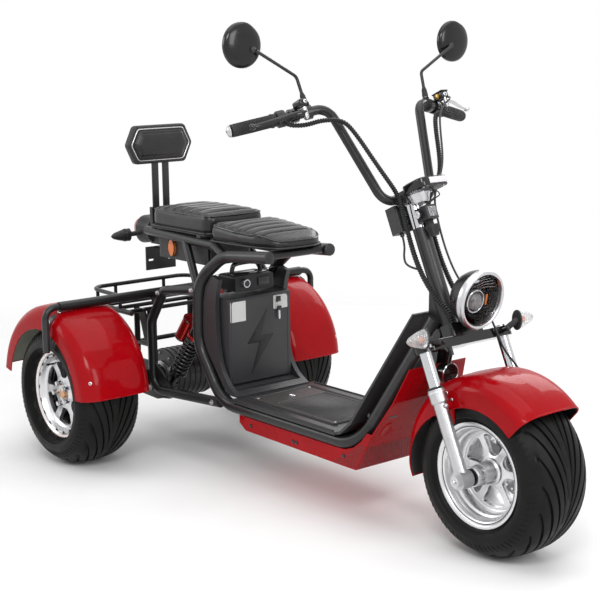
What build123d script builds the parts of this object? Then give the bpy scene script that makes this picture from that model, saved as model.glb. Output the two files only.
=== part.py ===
"""Electric three-wheel scooter: raked fork, ape-hanger bars, step-through tube frame,
two seats with a backrest, and a pair of fat rear wheels under wide fenders.

Frame: +X forward, +Y to the rider's left, +Z up, millimetres.
The origin is the bottom centre of the bounding box, at ground level.
"""

import os
from math import asin, cos, pi, radians, sin, sqrt, tan

from build123d import *

os.makedirs("parts", exist_ok=True)

# ---------------------------------------------------------------- driving sizes
gap = 0.3  # seat clearance between pieces that touch
running_gap = 2.0  # clearance between turning and fixed pieces
bearing_gap = 0.5  # clearance at the steering head's bearings

wheelbase = 1464
rear_axle_x = -693.4
front_axle_x = rear_axle_x + wheelbase
rear_track_half = 406

tyre_r = 228.6
tyre_half_w = 112.5
tyre_wall = 11
bead_r = 127  # ten inch rim seat
flange_r = 141
rim_wall = 5
front_rim_half = 98
rear_rim_half = 72
front_hub_d = 62
rear_hub_d = 92
axle_d = 15
stub_d = 25
axle_z = tyre_r

rake = 24.2  # steering axis from the vertical
fork_offset = 32
fork_half = 147.5
stanchion_d = 32
leg_d = 36
leg_collar_d = 45
leg_top = 240  # along the steering axis from the axle's foot point
crown_bottom = 338
crown_h = 60
crown_top = crown_bottom + crown_h
head_tube_d = 46
head_wall = 5
head_bottom = crown_top + bearing_gap
head_top = 676
stem_d = 30
collar_h = 68
bar_clamp_z = 762

frame_tube_d = 38
frame_half = 145
deck_tube_z = 226
loop_tube_d = 32
rail_d = 28
rail_half = 110
rail_z = 715

deck_half = frame_half + 21
deck_t = 9
deck_rear = 500
deck_front = 985

battery_half = 122
battery_rear = 338
battery_front = 440
battery_bottom = 274
battery_top = 552

seat_half = 132
rear_seat_half = 120

fender_t = 3
fender_r = tyre_r + 51.4
rear_fender_half = 125
front_fender_r = tyre_r + 33.4
front_fender_half = 116

bar_d = 26
grip_d = 35
mirror_d = 120

# steering column plane: x across the axis to the front, y left, z up the axis
sr = sin(radians(rake))
cr = cos(radians(rake))
column = Plane(
    origin=(front_axle_x - fork_offset * cr, 0, axle_z - fork_offset * sr),
    x_dir=(cr, 0, sr),
    z_dir=(-sr, 0, cr),
)


def on_column(x, y, z):
    """A point given along the steering column, in the part's frame."""
    return column.from_local_coords(Vector(x, y, z))


def along(x, y, z):
    """A point given from the rear axle line, in the part's frame."""
    return Vector(rear_axle_x + x, y, z)


def column_side(x, z):
    """A side profile's point given along the steering column."""
    point = on_column(x, 0, z)
    return (point.X, point.Z)


def side_point(x, z):
    """A point of a side profile, its x given from the rear axle line."""
    return (rear_axle_x + x, z)


def deck_point(x, z):
    """A side profile's point given from the front end of the deck's tubes."""
    return (rear_axle_x + deck_front + x, deck_tube_z + z)


def tube(points, diameter, bend=0, wall=0):
    """Adds a round tube through the points, with its corners bent to the radius."""
    with BuildLine() as path:
        if bend:
            FilletPolyline(*points, radius=bend)
        else:
            Polyline(*points)
    with BuildSketch(Plane(origin=path.line @ 0, z_dir=path.line % 0)) as section:
        Circle(diameter / 2)
        if wall:
            Circle(diameter / 2 - wall, mode=Mode.SUBTRACT)
    sweep(sections=section.sketch, path=path.line)


def rod(start, end, diameter, bore=0):
    """Adds a straight round bar from one point to another."""
    line = Vector(*end) - Vector(*start)
    with BuildSketch(Plane(origin=start, z_dir=line)) as section:
        Circle(diameter / 2)
        if bore:
            Circle(bore / 2, mode=Mode.SUBTRACT)
    extrude(section.sketch, amount=line.length)


def cable(points, diameter):
    """Adds a cable through the points, its bends as wide as the runs beside them allow."""
    runs = [b - a for a, b in zip(points, points[1:])]
    bends = []
    for before, after in zip(runs, runs[1:]):
        half_turn = radians(before.get_angle(after)) / 2
        bends.append(0.45 * min(before.length, after.length) / tan(half_turn))
    with BuildLine() as route:
        FilletPolyline(*points, radius=bends)
    with BuildSketch(Plane(origin=route.line @ 0, z_dir=route.line % 0)) as section:
        Circle(diameter / 2)
    sweep(sections=section.sketch, path=route.line)


def finish(builder, label):
    """Labels a finished piece and writes it."""
    builder.part.label = label
    export_step(builder.part, "parts/" + label + ".step")


# ---------------------------------------------------------------- wheels
def tyre_section(half_w, rim_half):
    """Draws the closed tyre casing, as radius against width."""
    seat = rim_half - rim_wall - gap
    rise = tyre_r - flange_r
    outer = [
        (bead_r + gap, seat),
        (flange_r + 1, seat),
        (flange_r + 0.09 * rise, seat + 6),
        (flange_r + 0.25 * rise, half_w),
        (flange_r + 0.52 * rise, half_w - 2),
        (tyre_r - 0.3 * rise, half_w - 18),
        (tyre_r - 0.11 * rise, half_w - 42),
        (tyre_r, half_w - 90),
    ]
    inner = [
        (tyre_r - tyre_wall, half_w - 90),
        (tyre_r - tyre_wall - 0.15 * rise, half_w - 46),
        (flange_r + 0.48 * rise, half_w - tyre_wall),
        (flange_r + 0.27 * rise, half_w - tyre_wall),
        (flange_r + 0.07 * rise, seat - tyre_wall),
        (bead_r + gap, seat - tyre_wall - 4),
    ]
    mirrored_inner = [(r, -w) for r, w in reversed(inner)]
    mirrored_outer = [(r, -w) for r, w in reversed(outer)]
    with BuildLine() as outline:
        Polyline(*outer, *mirrored_outer, *mirrored_inner, *inner, close=True)
    make_face(outline.edges())


def rim_section(rim_half):
    """Draws the rim barrel, a dropped channel between two flanges."""
    lip = rim_half
    seat = rim_half - rim_wall
    drop = rim_half - 34
    outer = [
        (flange_r, lip),
        (flange_r, seat),
        (bead_r, seat),
        (bead_r - 3, drop + 10),
        (bead_r - 14, drop),
    ]
    inner = [
        (bead_r - 14 - rim_wall, drop + 2),
        (bead_r - 3 - rim_wall, drop + 12),
        (bead_r - rim_wall, lip),
    ]
    mirrored_outer = [(r, -w) for r, w in reversed(outer)]
    mirrored_inner = [(r, -w) for r, w in reversed(inner)]
    with BuildLine() as outline:
        Polyline(*outer, *mirrored_outer, *mirrored_inner, *inner, close=True)
    make_face(outline.edges())


def wheel_plane(x, y):
    """A plane whose x runs along a wheel's radius and whose y runs to the left."""
    return Plane(origin=(x, y, axle_z), x_dir=(1, 0, 0), z_dir=(0, 0, 1))


def face_plane(x, y):
    """A plane square to the axle that looks to the right, for the spokes."""
    return Plane(origin=(x, y, axle_z), x_dir=(1, 0, 0), z_dir=(0, -1, 0))


windows = 6
spoke_t = 16
barrel_in = bead_r - 14 - rim_wall


def spoke_disc(x, y, outward, hub_d, spoke_w, corner):
    """Adds the spoked disc inside the barrel, its outer face at y."""
    low = hub_d / 2 + 9
    high = barrel_in - 9
    low_turn = pi / windows - asin(spoke_w / 2 / low)
    high_turn = pi / windows - asin(spoke_w / 2 / high)
    with BuildSketch() as window:
        with BuildLine():
            Polyline(
                (high * cos(high_turn), high * sin(high_turn)),
                (low * cos(low_turn), low * sin(low_turn)),
                (low * cos(low_turn), -low * sin(low_turn)),
                (high * cos(high_turn), -high * sin(high_turn)),
            )
            ThreePointArc(
                (high * cos(high_turn), -high * sin(high_turn)),
                (high, 0),
                (high * cos(high_turn), high * sin(high_turn)),
            )
        make_face()
        fillet(window.vertices(), corner)
    with BuildSketch(face_plane(x, y)) as disc:
        Circle(barrel_in + 2)
        with PolarLocations(0, windows):
            add(window.sketch, mode=Mode.SUBTRACT)
    extrude(disc.sketch, amount=outward * spoke_t)


with BuildPart() as front_tyre:
    with BuildSketch(wheel_plane(front_axle_x, 0)):
        tyre_section(tyre_half_w, front_rim_half)
    revolve(axis=Axis((front_axle_x, 0, axle_z), (0, 1, 0)))
finish(front_tyre, "front_tyre")

front_hub_in = 62
front_hub_out = 85
with BuildPart() as front_rim:
    with BuildSketch(wheel_plane(front_axle_x, 0)):
        rim_section(front_rim_half)
    revolve(axis=Axis((front_axle_x, 0, axle_z), (0, 1, 0)))
    spoke_disc(front_axle_x, -30, -1, front_hub_d, 20, 9)
    rod(
        (front_axle_x, -front_hub_out, axle_z),
        (front_axle_x, front_hub_in, axle_z),
        front_hub_d,
    )
    with BuildSketch(face_plane(front_axle_x, 0)) as front_bore:
        Circle(axle_d / 2 + gap)
    extrude(front_bore.sketch, amount=front_hub_out, mode=Mode.SUBTRACT)
    extrude(front_bore.sketch, amount=-front_hub_in, mode=Mode.SUBTRACT)
finish(front_rim, "front_rim")

disc_d = 180
disc_t = 4
with BuildPart() as front_disc:
    with BuildSketch(face_plane(front_axle_x, front_hub_in + gap)) as rotor:
        Circle(disc_d / 2)
        Circle(axle_d, mode=Mode.SUBTRACT)
        with PolarLocations(disc_d / 2 - 12, 24):
            Circle(3.5, mode=Mode.SUBTRACT)
    extrude(rotor.sketch, amount=-disc_t)
finish(front_disc, "front_disc")

rear_hub_in = 110
rear_hub_out = 52
for side, label in ((-1, "right"), (1, "left")):
    track = side * rear_track_half
    rear_axis = Axis((rear_axle_x, track, axle_z), (0, 1, 0))
    with BuildPart() as rear_tyre:
        with BuildSketch(wheel_plane(rear_axle_x, track)):
            tyre_section(tyre_half_w, rear_rim_half)
        revolve(axis=rear_axis)
    finish(rear_tyre, "rear_" + label + "_tyre")
    with BuildPart() as rear_rim:
        with BuildSketch(wheel_plane(rear_axle_x, track)):
            rim_section(rear_rim_half)
        revolve(axis=rear_axis)
        spoke_disc(rear_axle_x, track + side * 44, side, rear_hub_d, 34, 8)
        rod(
            (rear_axle_x, track + side * rear_hub_out, axle_z),
            (rear_axle_x, track - side * rear_hub_in, axle_z),
            rear_hub_d,
        )
        with BuildSketch(
            face_plane(rear_axle_x, track + side * rear_hub_out)
        ) as rear_bore:
            Circle(stub_d / 2 + gap)
        extrude(
            rear_bore.sketch,
            amount=side * (rear_hub_out + rear_hub_in),
            mode=Mode.SUBTRACT,
        )
    finish(rear_rim, "rear_" + label + "_rim")
    with BuildPart() as rear_disc:
        with BuildSketch(
            face_plane(rear_axle_x, track - side * (rear_hub_in + gap))
        ) as rotor:
            Circle(disc_d / 2)
            Circle(stub_d, mode=Mode.SUBTRACT)
        extrude(rotor.sketch, amount=side * disc_t)
    finish(rear_disc, "rear_" + label + "_disc")

# ---------------------------------------------------------------- main frame
upright_foot_x = 1067
axle_beam_d = 50
loop_rear_x = axle_beam_d / 2 + loop_tube_d / 2 + 3
shock_half = 108
eye_half = 16
shock_low = along(94, 0, 214)
shock_high = along(288, 0, 462)
shock_run = shock_high - shock_low
shock_l = shock_run.length
upright_top = on_column(-head_tube_d / 2 + 4, 28, head_bottom + 30)
with BuildPart() as main_frame:
    # side tube: seat rail, hoop beside the battery, deck rail, upright
    tube(
        [
            along(640, 118, 704),
            along(440, 138, 688),
            along(318, frame_half, 600),
            along(308, frame_half, 400),
            along(430, frame_half, deck_tube_z),
            along(upright_foot_x, frame_half, deck_tube_z),
            upright_top,
        ],
        frame_tube_d,
        bend=130,
    )
    # rear loop that carries the axle
    tube(
        [
            along(312, frame_half, 568),
            along(120, frame_half, 540),
            along(loop_rear_x, frame_half, 430),
            along(loop_rear_x, frame_half, 196),
            along(420, frame_half, 224),
        ],
        loop_tube_d,
        bend=50,
    )
    # seat rail and its strut
    tube(
        [
            along(-20, rail_half, rail_z + 6),
            along(360, rail_half, rail_z - 6.4),
            along(440, 130, 686),
        ],
        rail_d,
        bend=60,
    )
    rod(
        along(200, rail_half, rail_z - 2),
        along(318, frame_half, 556),
        rail_d - 2,
    )
    # axle plate
    with BuildSketch(Plane.XZ.offset(-frame_half)) as plate:
        with BuildLine():
            Polyline(
                side_point(-42, 172),
                side_point(70, 168),
                side_point(150, 190),
                side_point(150, 226),
                side_point(60, 290),
                side_point(-42, 290),
                close=True,
            )
        make_face()
    extrude(plate.sketch, amount=4, both=True)
    # studs that hold the shock absorbers
    for eye in (shock_low, shock_high):
        rod(
            (eye.X, shock_half + eye_half + gap, eye.Z),
            (eye.X, frame_half, eye.Z),
            24,
        )
    mirror(about=Plane.XZ)
    with BuildSketch(Plane.XZ) as beam_hole:
        with Locations(side_point(0, axle_z)):
            Circle(axle_beam_d / 2 + gap)
    extrude(beam_hole.sketch, amount=200, both=True, mode=Mode.SUBTRACT)
    # cross tubes
    for x in (540, 760, 960):
        rod(along(x, -frame_half, deck_tube_z), along(x, frame_half, deck_tube_z), 26)
    rod(along(-10, -rail_half, rail_z + 5), along(-10, rail_half, rail_z + 5), 24)
    rod(along(313, -frame_half, 590), along(313, frame_half, 590), 26)
    rod(along(620, -118, 706), along(620, 118, 706), 26)
    # head tube with its gusset
    with BuildSketch(column.offset(head_bottom)) as head:
        Circle(head_tube_d / 2)
    extrude(head.sketch, amount=head_top - head_bottom)
    with BuildSketch(Plane.XZ) as gusset:
        with BuildLine():
            Polyline(
                column_side(-5, head_bottom + 4),
                column_side(-50, head_bottom + 4),
                column_side(-62, head_bottom + 26),
                column_side(-5, head_bottom + 145),
                close=True,
            )
        make_face()
    extrude(gusset.sketch, amount=16, both=True)
    with BuildSketch(column.offset(head_bottom - 30)) as head_bore:
        Circle(head_tube_d / 2 - head_wall)
    extrude(head_bore.sketch, amount=head_top - head_bottom + 40, mode=Mode.SUBTRACT)
finish(main_frame, "main_frame")
# ---------------------------------------------------------------- shock absorbers
spring_low = 78
spring_high = 236
spring_turns = 9
spring_wire = 9
spring_mean_r = 24


def shock_plane(side):
    """A plane at a shock's lower eye, its z up the damper, its x across the part."""
    return Plane(
        origin=(shock_low.X, side * shock_half, shock_low.Z),
        x_dir=(0, 1, 0),
        z_dir=shock_run,
    )


def shock_rod(side, low, high, diameter, across=0, behind=0):
    """Adds a round bar along a shock absorber."""
    plane = shock_plane(side)
    rod(
        plane.from_local_coords(Vector(across, behind, low)),
        plane.from_local_coords(Vector(across, behind, high)),
        diameter,
    )


with BuildPart() as shock_dampers:
    for side in (-1, 1):
        shock_rod(side, 0, shock_l, 22)
        shock_rod(side, spring_low - 12, spring_low - gap, 62)
        shock_rod(side, spring_high + gap, shock_l - 34, 52)
        eye_plane = shock_plane(side)
        for end in (0, shock_l):
            rod(
                eye_plane.from_local_coords(Vector(-eye_half, 0, end)),
                eye_plane.from_local_coords(Vector(eye_half, 0, end)),
                30,
            )
finish(shock_dampers, "shock_dampers")

with BuildPart() as shock_springs:
    for side in (-1, 1):
        coil_base = shock_plane(side).offset(spring_low + spring_wire / 2)
        with BuildLine() as coil:
            Helix(
                pitch=(spring_high - spring_low - spring_wire) / spring_turns,
                height=spring_high - spring_low - spring_wire,
                radius=spring_mean_r,
                center=coil_base.origin,
                direction=coil_base.z_dir,
            )
        with BuildSketch(Plane(origin=coil.line @ 0, z_dir=coil.line % 0)) as wire:
            RegularPolygon(spring_wire / 2, 8)
        sweep(sections=wire.sketch, path=coil.line, is_frenet=True)
finish(shock_springs, "shock_springs")

with BuildPart() as shock_reservoirs:
    for side in (-1, 1):
        shock_rod(side, 176, 266, 46, behind=54)
        shock_rod(side, 252, 266, 20, behind=36 + gap)
finish(shock_reservoirs, "shock_reservoirs")
# ---------------------------------------------------------------- deck
with BuildPart() as footboard:
    with BuildSketch(Plane.XZ) as board:
        with BuildLine():
            Polyline(
                side_point(deck_rear, deck_tube_z + 19 + gap),
                side_point(deck_front, deck_tube_z + 19 + gap),
                side_point(deck_front, deck_tube_z + 19 + gap + deck_t),
                side_point(deck_rear, deck_tube_z + 19 + gap + deck_t),
                close=True,
            )
        make_face()
    extrude(board.sketch, amount=deck_half, both=True)
finish(footboard, "footboard")

deck_top_z = deck_tube_z + 19 + gap + deck_t
mat_t = 2
with BuildPart() as deck_mat:
    with BuildSketch(Plane.XY.offset(deck_top_z + gap)) as mat:
        with Locations((rear_axle_x + 735, 0)):
            RectangleRounded(390, 236, 14)
    extrude(mat.sketch, amount=mat_t)
finish(deck_mat, "deck_mat")

# leg shield, a plastic panel that climbs behind the uprights
shield_half = deck_half - 2
shield_top_half = 58
with BuildPart() as leg_shield:
    with BuildSketch(Plane.XZ) as shield_side:
        with BuildLine():
            Polyline(
                deck_point(gap, 21),
                deck_point(23, 27),
                deck_point(59, 62),
                deck_point(213, 382),
                deck_point(208, 384),
                deck_point(51, 66),
                deck_point(19, 34),
                deck_point(gap, 28),
                close=True,
            )
        make_face()
    extrude(shield_side.sketch, amount=shield_half, both=True)
    with BuildSketch(Plane.YZ.offset(rear_axle_x)) as shield_front:
        with BuildLine():
            Polyline(
                (-shield_half, deck_tube_z + 4),
                (shield_half, deck_tube_z + 4),
                (shield_half, deck_tube_z + 36),
                (shield_top_half, deck_tube_z + 414),
                (-shield_top_half, deck_tube_z + 414),
                (-shield_half, deck_tube_z + 36),
                close=True,
            )
        make_face()
    extrude(shield_front.sketch, amount=deck_front + 320, mode=Mode.INTERSECT)
finish(leg_shield, "leg_shield")

# lower fairing, a thin shell under the deck that rises in front of the uprights
fairing_half = frame_half + 11
fairing_t = 3
fairing_drop = -60
fairing_top_half = 104
with BuildPart() as lower_fairing:
    with BuildSketch(Plane.XZ) as belly:
        with BuildLine():
            Polyline(
                side_point(deck_rear + 30, deck_tube_z - 17.6),
                side_point(deck_rear + 30, deck_tube_z - 40),
                side_point(deck_rear + 60, deck_tube_z + fairing_drop),
                deck_point(25, fairing_drop - 6),
                deck_point(79, fairing_drop - 6),
                deck_point(123, 12),
                deck_point(172, 94),
                deck_point(203, 146),
                deck_point(243, 242),
                deck_point(209, 242),
                deck_point(134.5, 70),
                deck_point(126, 54),
                deck_point(102, 22.5),
                deck_point(71, -1.5),
                deck_point(34, -15.5),
                deck_point(-5, -17.6),
                close=True,
            )
        make_face()
    extrude(belly.sketch, amount=fairing_half, both=True)
    with BuildSketch(Plane.XZ) as hollow:
        with BuildLine():
            Polyline(
                side_point(deck_rear + 20, deck_tube_z + 4),
                side_point(deck_rear + 34, deck_tube_z - 36),
                side_point(deck_rear + 62, deck_tube_z + fairing_drop + fairing_t),
                deck_point(25, fairing_drop - 6 + fairing_t),
                deck_point(77, fairing_drop - 6 + fairing_t),
                deck_point(120, 13),
                deck_point(169, 95),
                deck_point(200, 147),
                deck_point(239, 242),
                deck_point(155, 254),
                deck_point(-5, 74),
                close=True,
            )
        make_face()
    extrude(
        hollow.sketch, amount=fairing_half - fairing_t, both=True, mode=Mode.SUBTRACT
    )
    with BuildSketch(Plane.YZ.offset(rear_axle_x)) as fairing_front:
        with BuildLine():
            Polyline(
                (-fairing_half, deck_tube_z - 126),
                (fairing_half, deck_tube_z - 126),
                (fairing_half, deck_tube_z + 36),
                (fairing_top_half, deck_tube_z + 254),
                (-fairing_top_half, deck_tube_z + 254),
                (-fairing_half, deck_tube_z + 36),
                close=True,
            )
        make_face()
    extrude(fairing_front.sketch, amount=deck_front + 320, mode=Mode.INTERSECT)
finish(lower_fairing, "lower_fairing")

# ---------------------------------------------------------------- battery
with BuildPart() as battery_box:
    with BuildSketch(Plane.XZ) as battery_side:
        with BuildLine():
            Polyline(
                (rear_axle_x + battery_rear, battery_bottom),
                (rear_axle_x + battery_front, battery_bottom),
                (rear_axle_x + battery_front, battery_top),
                (rear_axle_x + battery_rear, battery_top),
                close=True,
            )
        make_face()
    extrude(battery_side.sketch, amount=battery_half, both=True)
    fillet(battery_box.edges().filter_by(Axis.Y), 8)
    with BuildSketch(Plane.YZ.offset(rear_axle_x + battery_front)) as bolt_mark:
        with BuildLine():
            Polyline(
                (30, 505), (-52, 400), (-4, 400), (-38, 300), (52, 420), (2, 420),
                close=True,
            )
        make_face()
    extrude(bolt_mark.sketch, amount=-2, mode=Mode.SUBTRACT)
finish(battery_box, "battery_box")

with BuildPart() as battery_shroud:
    with BuildSketch(Plane.XZ) as cheek:
        with BuildLine():
            Spline(
                side_point(420, 612),
                side_point(402, 550),
                side_point(401, 450),
                side_point(424, 335),
                side_point(505, 258),
            )
            Polyline(
                side_point(505, 258),
                side_point(505, deck_top_z + gap),
                side_point(461, deck_top_z + gap),
                side_point(432.5, 276.5),
                side_point(353, 376),
                side_point(335.5, 408),
                side_point(331.2, 444),
                side_point(336, 537),
                side_point(349, 583.5),
                side_point(381, 622),
                side_point(420, 612),
            )
        make_face()
    extrude(cheek.sketch, amount=143, both=True)
    with BuildSketch(Plane.XZ) as inside:
        with Locations((rear_axle_x + 420, 445)):
            Rectangle(400, 352)
    extrude(inside.sketch, amount=143 - 16, both=True, mode=Mode.SUBTRACT)
    with BuildSketch(Plane.XZ) as ramp:
        with BuildLine():
            Polyline(
                (rear_axle_x + battery_rear, battery_bottom - gap - 8),
                (rear_axle_x + battery_rear, battery_bottom - gap),
                (rear_axle_x + 446, battery_bottom - gap),
                (rear_axle_x + 505, 257.5),
                (rear_axle_x + 505, deck_top_z + gap),
                (rear_axle_x + 446, battery_bottom - gap - 8),
                close=True,
            )
        make_face()
    extrude(ramp.sketch, amount=frame_half - frame_tube_d / 2 - 1, both=True)
    with Locations((rear_axle_x + 485, 0, deck_top_z + gap + 1.5)):
        Box(40, 256, 3)
finish(battery_shroud, "battery_shroud")

with BuildPart() as battery_lock:
    with Locations((rear_axle_x + 370.5, 0, 588)):
        Box(89, 150, 50)
    with BuildSketch(Plane.YZ.offset(rear_axle_x + 415)) as barrel:
        with Locations((-40, 590)):
            Circle(13)
    extrude(barrel.sketch, amount=14)
    fillet(battery_lock.edges().filter_by(Axis.X).group_by(SortBy.LENGTH)[-1], 8)
finish(battery_lock, "battery_lock")

# ---------------------------------------------------------------- seats
pan_t = 4
rear_pan_z = rail_z + 19.2
front_pan_z = 719.3
with BuildPart() as rear_seat:
    with BuildSketch(Plane.XY.offset(rear_pan_z + pan_t + gap)) as rear_plan:
        with Locations((rear_axle_x + 170, 0)):
            RectangleRounded(330, 2 * rear_seat_half, 36)
    extrude(rear_plan.sketch, amount=62.5)
    fillet(rear_seat.faces().sort_by(Axis.Z)[-1].edges(), 16)
finish(rear_seat, "rear_seat")

with BuildPart() as front_seat:
    with BuildSketch(Plane.XY.offset(front_pan_z + pan_t)) as front_plan:
        with BuildLine():
            Polyline(
                (rear_axle_x + 536, seat_half),
                (rear_axle_x + 344, seat_half),
                (rear_axle_x + 344, -seat_half),
                (rear_axle_x + 536, -seat_half),
            )
            ThreePointArc(
                (rear_axle_x + 536, -seat_half),
                (rear_axle_x + 536 + seat_half, 0),
                (rear_axle_x + 536, seat_half),
            )
        make_face()
        fillet(front_plan.vertices().group_by(Axis.X)[0], 30)
    extrude(front_plan.sketch, amount=74)
    fillet(front_seat.faces().sort_by(Axis.Z)[-1].edges(), 18)
finish(front_seat, "front_seat")

strip_z = rail_z + 10.9
tray_h = 91
with BuildPart() as seat_tray:
    with Locations((rear_axle_x + 150, 0, strip_z - gap - tray_h / 2)):
        Box(290, 176, tray_h)
    fillet(seat_tray.edges().filter_by(Axis.Z), 20)
    with Locations((rear_axle_x + 150, 0, strip_z - tray_h / 2 + 4)):
        Box(282, 168, tray_h, mode=Mode.SUBTRACT)
finish(seat_tray, "seat_tray")

with BuildPart() as seat_pan:
    with Locations((rear_axle_x + 165, 0, rear_pan_z + pan_t / 2)):
        Box(300, 232, pan_t)
    with Locations((rear_axle_x + 280, 0, (strip_z + rear_pan_z) / 2)):
        Box(20, 232, rear_pan_z - strip_z)
    with Locations((rear_axle_x + 60, 0, rear_pan_z - 0.5)):
        Box(20, 232, 1)
    with Locations((rear_axle_x + 500, 0, front_pan_z + (pan_t - gap) / 2)):
        Box(250, 200, pan_t - gap)
finish(seat_pan, "seat_pan")

# ---------------------------------------------------------------- backrest
post_x = -96
pad_z = 995
with BuildPart() as backrest_posts:
    for side in (-1, 1):
        with BuildSketch(Plane.XY.offset(700)) as post:
            with Locations((rear_axle_x + post_x, side * 21)):
                RectangleRounded(9, 24, 2)
        extrude(post.sketch, amount=236)
    with Locations(along(post_x, 0, 742)):
        Box(16, 84, 84)
    with Locations(along(post_x + 49, 0, 732 + gap + 3)):
        Box(98, 60, 6)
finish(backrest_posts, "backrest_posts")

pad_half = 130
pad_h = 128
with BuildPart() as backrest_pad:
    with BuildSketch(Plane.YZ.offset(rear_axle_x + post_x - 18)) as pad:
        with BuildLine():
            Polyline(
                (-pad_half, pad_z), (-100, pad_z + pad_h / 2), (100, pad_z + pad_h / 2),
                (pad_half, pad_z), (100, pad_z - pad_h / 2), (-100, pad_z - pad_h / 2),
                close=True,
            )
        make_face()
        fillet(pad.vertices(), 16)
    extrude(pad.sketch, amount=40)
    fillet(backrest_pad.faces().sort_by(Axis.X)[-1].edges(), 8)
    for side in (-1, 1):
        with Locations((rear_axle_x + post_x, side * 21, 920)):
            Box(9 + 2 * gap, 24 + 2 * gap, 34, mode=Mode.SUBTRACT)
finish(backrest_pad, "backrest_pad")

# ---------------------------------------------------------------- tail
lamp_z = 700
with BuildPart() as tail_lamp:
    with BuildSketch(Plane.YZ.offset(rear_axle_x - 175)) as lamp_back:
        with Locations((0, lamp_z)):
            RectangleRounded(110, 96, 40)
    extrude(lamp_back.sketch, amount=60, taper=8)
    with Locations(along(-78.3, 0, 674)):
        Box(101.4, 48, 36)
finish(tail_lamp, "tail_lamp")

with BuildPart() as tail_lens:
    with BuildSketch(Plane.YZ.offset(rear_axle_x - 175 - gap)) as lens:
        with Locations((0, lamp_z)):
            RectangleRounded(104, 90, 38)
    extrude(lens.sketch, amount=-26, taper=18)
finish(tail_lens, "tail_lens")

with BuildPart() as rear_indicators:
    for side in (-1, 1):
        rod(
            along(-152, side * 53.1, lamp_z - 8),
            along(-152, side * 98, lamp_z - 8),
            14,
        )
        base = Plane(
            origin=along(-154, side * 96, lamp_z - 10),
            x_dir=(1, 0, 0),
            z_dir=(0, side, 0),
        )
        with BuildSketch(base) as wide:
            Ellipse(17, 22)
        with BuildSketch(base.offset(72)) as tip:
            Ellipse(3, 4)
        loft(sections=[wide.sketch, tip.sketch])
finish(rear_indicators, "rear_indicators")

arm_z = 645
plate_z = 608
with BuildPart() as plate_bracket:
    with Locations(along(-24.8, 0, 685)):
        Box(5, 56, 90)
    with Locations(along(-68, 0, arm_z)):
        Box(86, 40, 6)
    with Locations(along(-109, 0, plate_z)):
        Box(5, 120, 80)
    with BuildSketch(Plane.YZ.offset(rear_axle_x - 130)) as slots:
        with Locations((-40, plate_z - 6), (40, plate_z - 6)):
            SlotOverall(22, 7)
    extrude(slots.sketch, amount=40, mode=Mode.SUBTRACT)
finish(plate_bracket, "plate_bracket")

with BuildPart() as side_reflectors:
    for side in (-1, 1):
        with BuildSketch(
            Plane(
                origin=along(96, side * (88 + gap), 672),
                x_dir=(1, 0, 0),
                z_dir=(0, side, 0),
            )
        ) as reflector:
            Ellipse(18, 28)
        extrude(reflector.sketch, amount=8)
finish(side_reflectors, "side_reflectors")

# ---------------------------------------------------------------- cargo rack
rack_half = 200
rack_rear = -246
rack_top = 507
with BuildPart() as cargo_rack:
    tube(
        [
            along(10, -rack_half, rack_top - 4),
            along(rack_rear, -rack_half, rack_top),
            along(rack_rear, rack_half, rack_top),
            along(10, rack_half, rack_top - 4),
        ],
        14,
        bend=50,
    )
    tube(
        [
            along(10, -rack_half, 455),
            along(rack_rear, -rack_half, 455),
            along(rack_rear, rack_half, 455),
            along(10, rack_half, 455),
        ],
        18,
        bend=50,
    )
    for x, y in ((-200, -rack_half), (-200, rack_half), (-60, -rack_half),
                 (-60, rack_half), (rack_rear, -100), (rack_rear, 100)):
        rod(along(x, y, 455), along(x, y, rack_top), 12)
    for x in (-180, -100, -20):
        rod(along(x, -rack_half, 455), along(x, rack_half, 455), 14)
    for y in (-110, 110):
        rod(along(-100, y, 300), along(-100, y, 455), 20)
        rod(along(-20, y, 300), along(-20, y, 455), 20)
        rod(along(-100, y, 330), along(-20, y, 330), 16)
    rod(along(-100, -110, 330), along(-100, 110, 330), 16)
    # brackets against the rear loops
    for side in (-1, 1):
        with BuildSketch(Plane.XZ.offset(-side * frame_half)) as rack_foot:
            with BuildLine():
                Polyline(
                    side_point(-27, 462),
                    side_point(-27, 440),
                    side_point(6, 345),
                    side_point(loop_rear_x - loop_tube_d / 2 - gap, 345),
                    side_point(loop_rear_x - loop_tube_d / 2 - gap, 410),
                    side_point(0, 462),
                    close=True,
                )
            make_face()
        extrude(rack_foot.sketch, amount=4, both=True)
finish(cargo_rack, "cargo_rack")

# ---------------------------------------------------------------- rear axle
with BuildPart() as rear_axle:
    rod(along(0, -262, axle_z), along(0, 262, axle_z), axle_beam_d)
    rod(along(0, -80, axle_z), along(0, 80, axle_z), 168)
    rod(along(0, -rear_track_half - 60, axle_z), along(0, rear_track_half + 60, axle_z), stub_d)
finish(rear_axle, "rear_axle")

caliper_turn = 35
with BuildPart() as rear_calipers:
    for side in (-1, 1):
        disc_y = rear_track_half - rear_hub_in - gap - disc_t / 2
        beam_end = 262
        arm = Plane(
            origin=(rear_axle_x, 0, axle_z),
            x_dir=(cos(radians(caliper_turn)), 0, sin(radians(caliper_turn))),
            z_dir=(0, side, 0),
        )
        with BuildSketch(arm.offset(beam_end + gap)) as carrier:
            Circle(22)
            with Locations((48, 0)):
                RectangleRounded(96, 32, 6)
            Circle(stub_d / 2 + gap, mode=Mode.SUBTRACT)
        extrude(carrier.sketch, amount=6)
        with BuildSketch(arm.offset(beam_end + gap)) as body:
            with Locations((77, 0)):
                RectangleRounded(46, 44, 7)
        extrude(body.sketch, amount=52)
        with BuildSketch(arm.offset(disc_y - disc_t / 2 - running_gap)) as slot:
            Circle(disc_d / 2 + running_gap)
        extrude(slot.sketch, amount=disc_t + 2 * running_gap, mode=Mode.SUBTRACT)
finish(rear_calipers, "rear_calipers")
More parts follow.
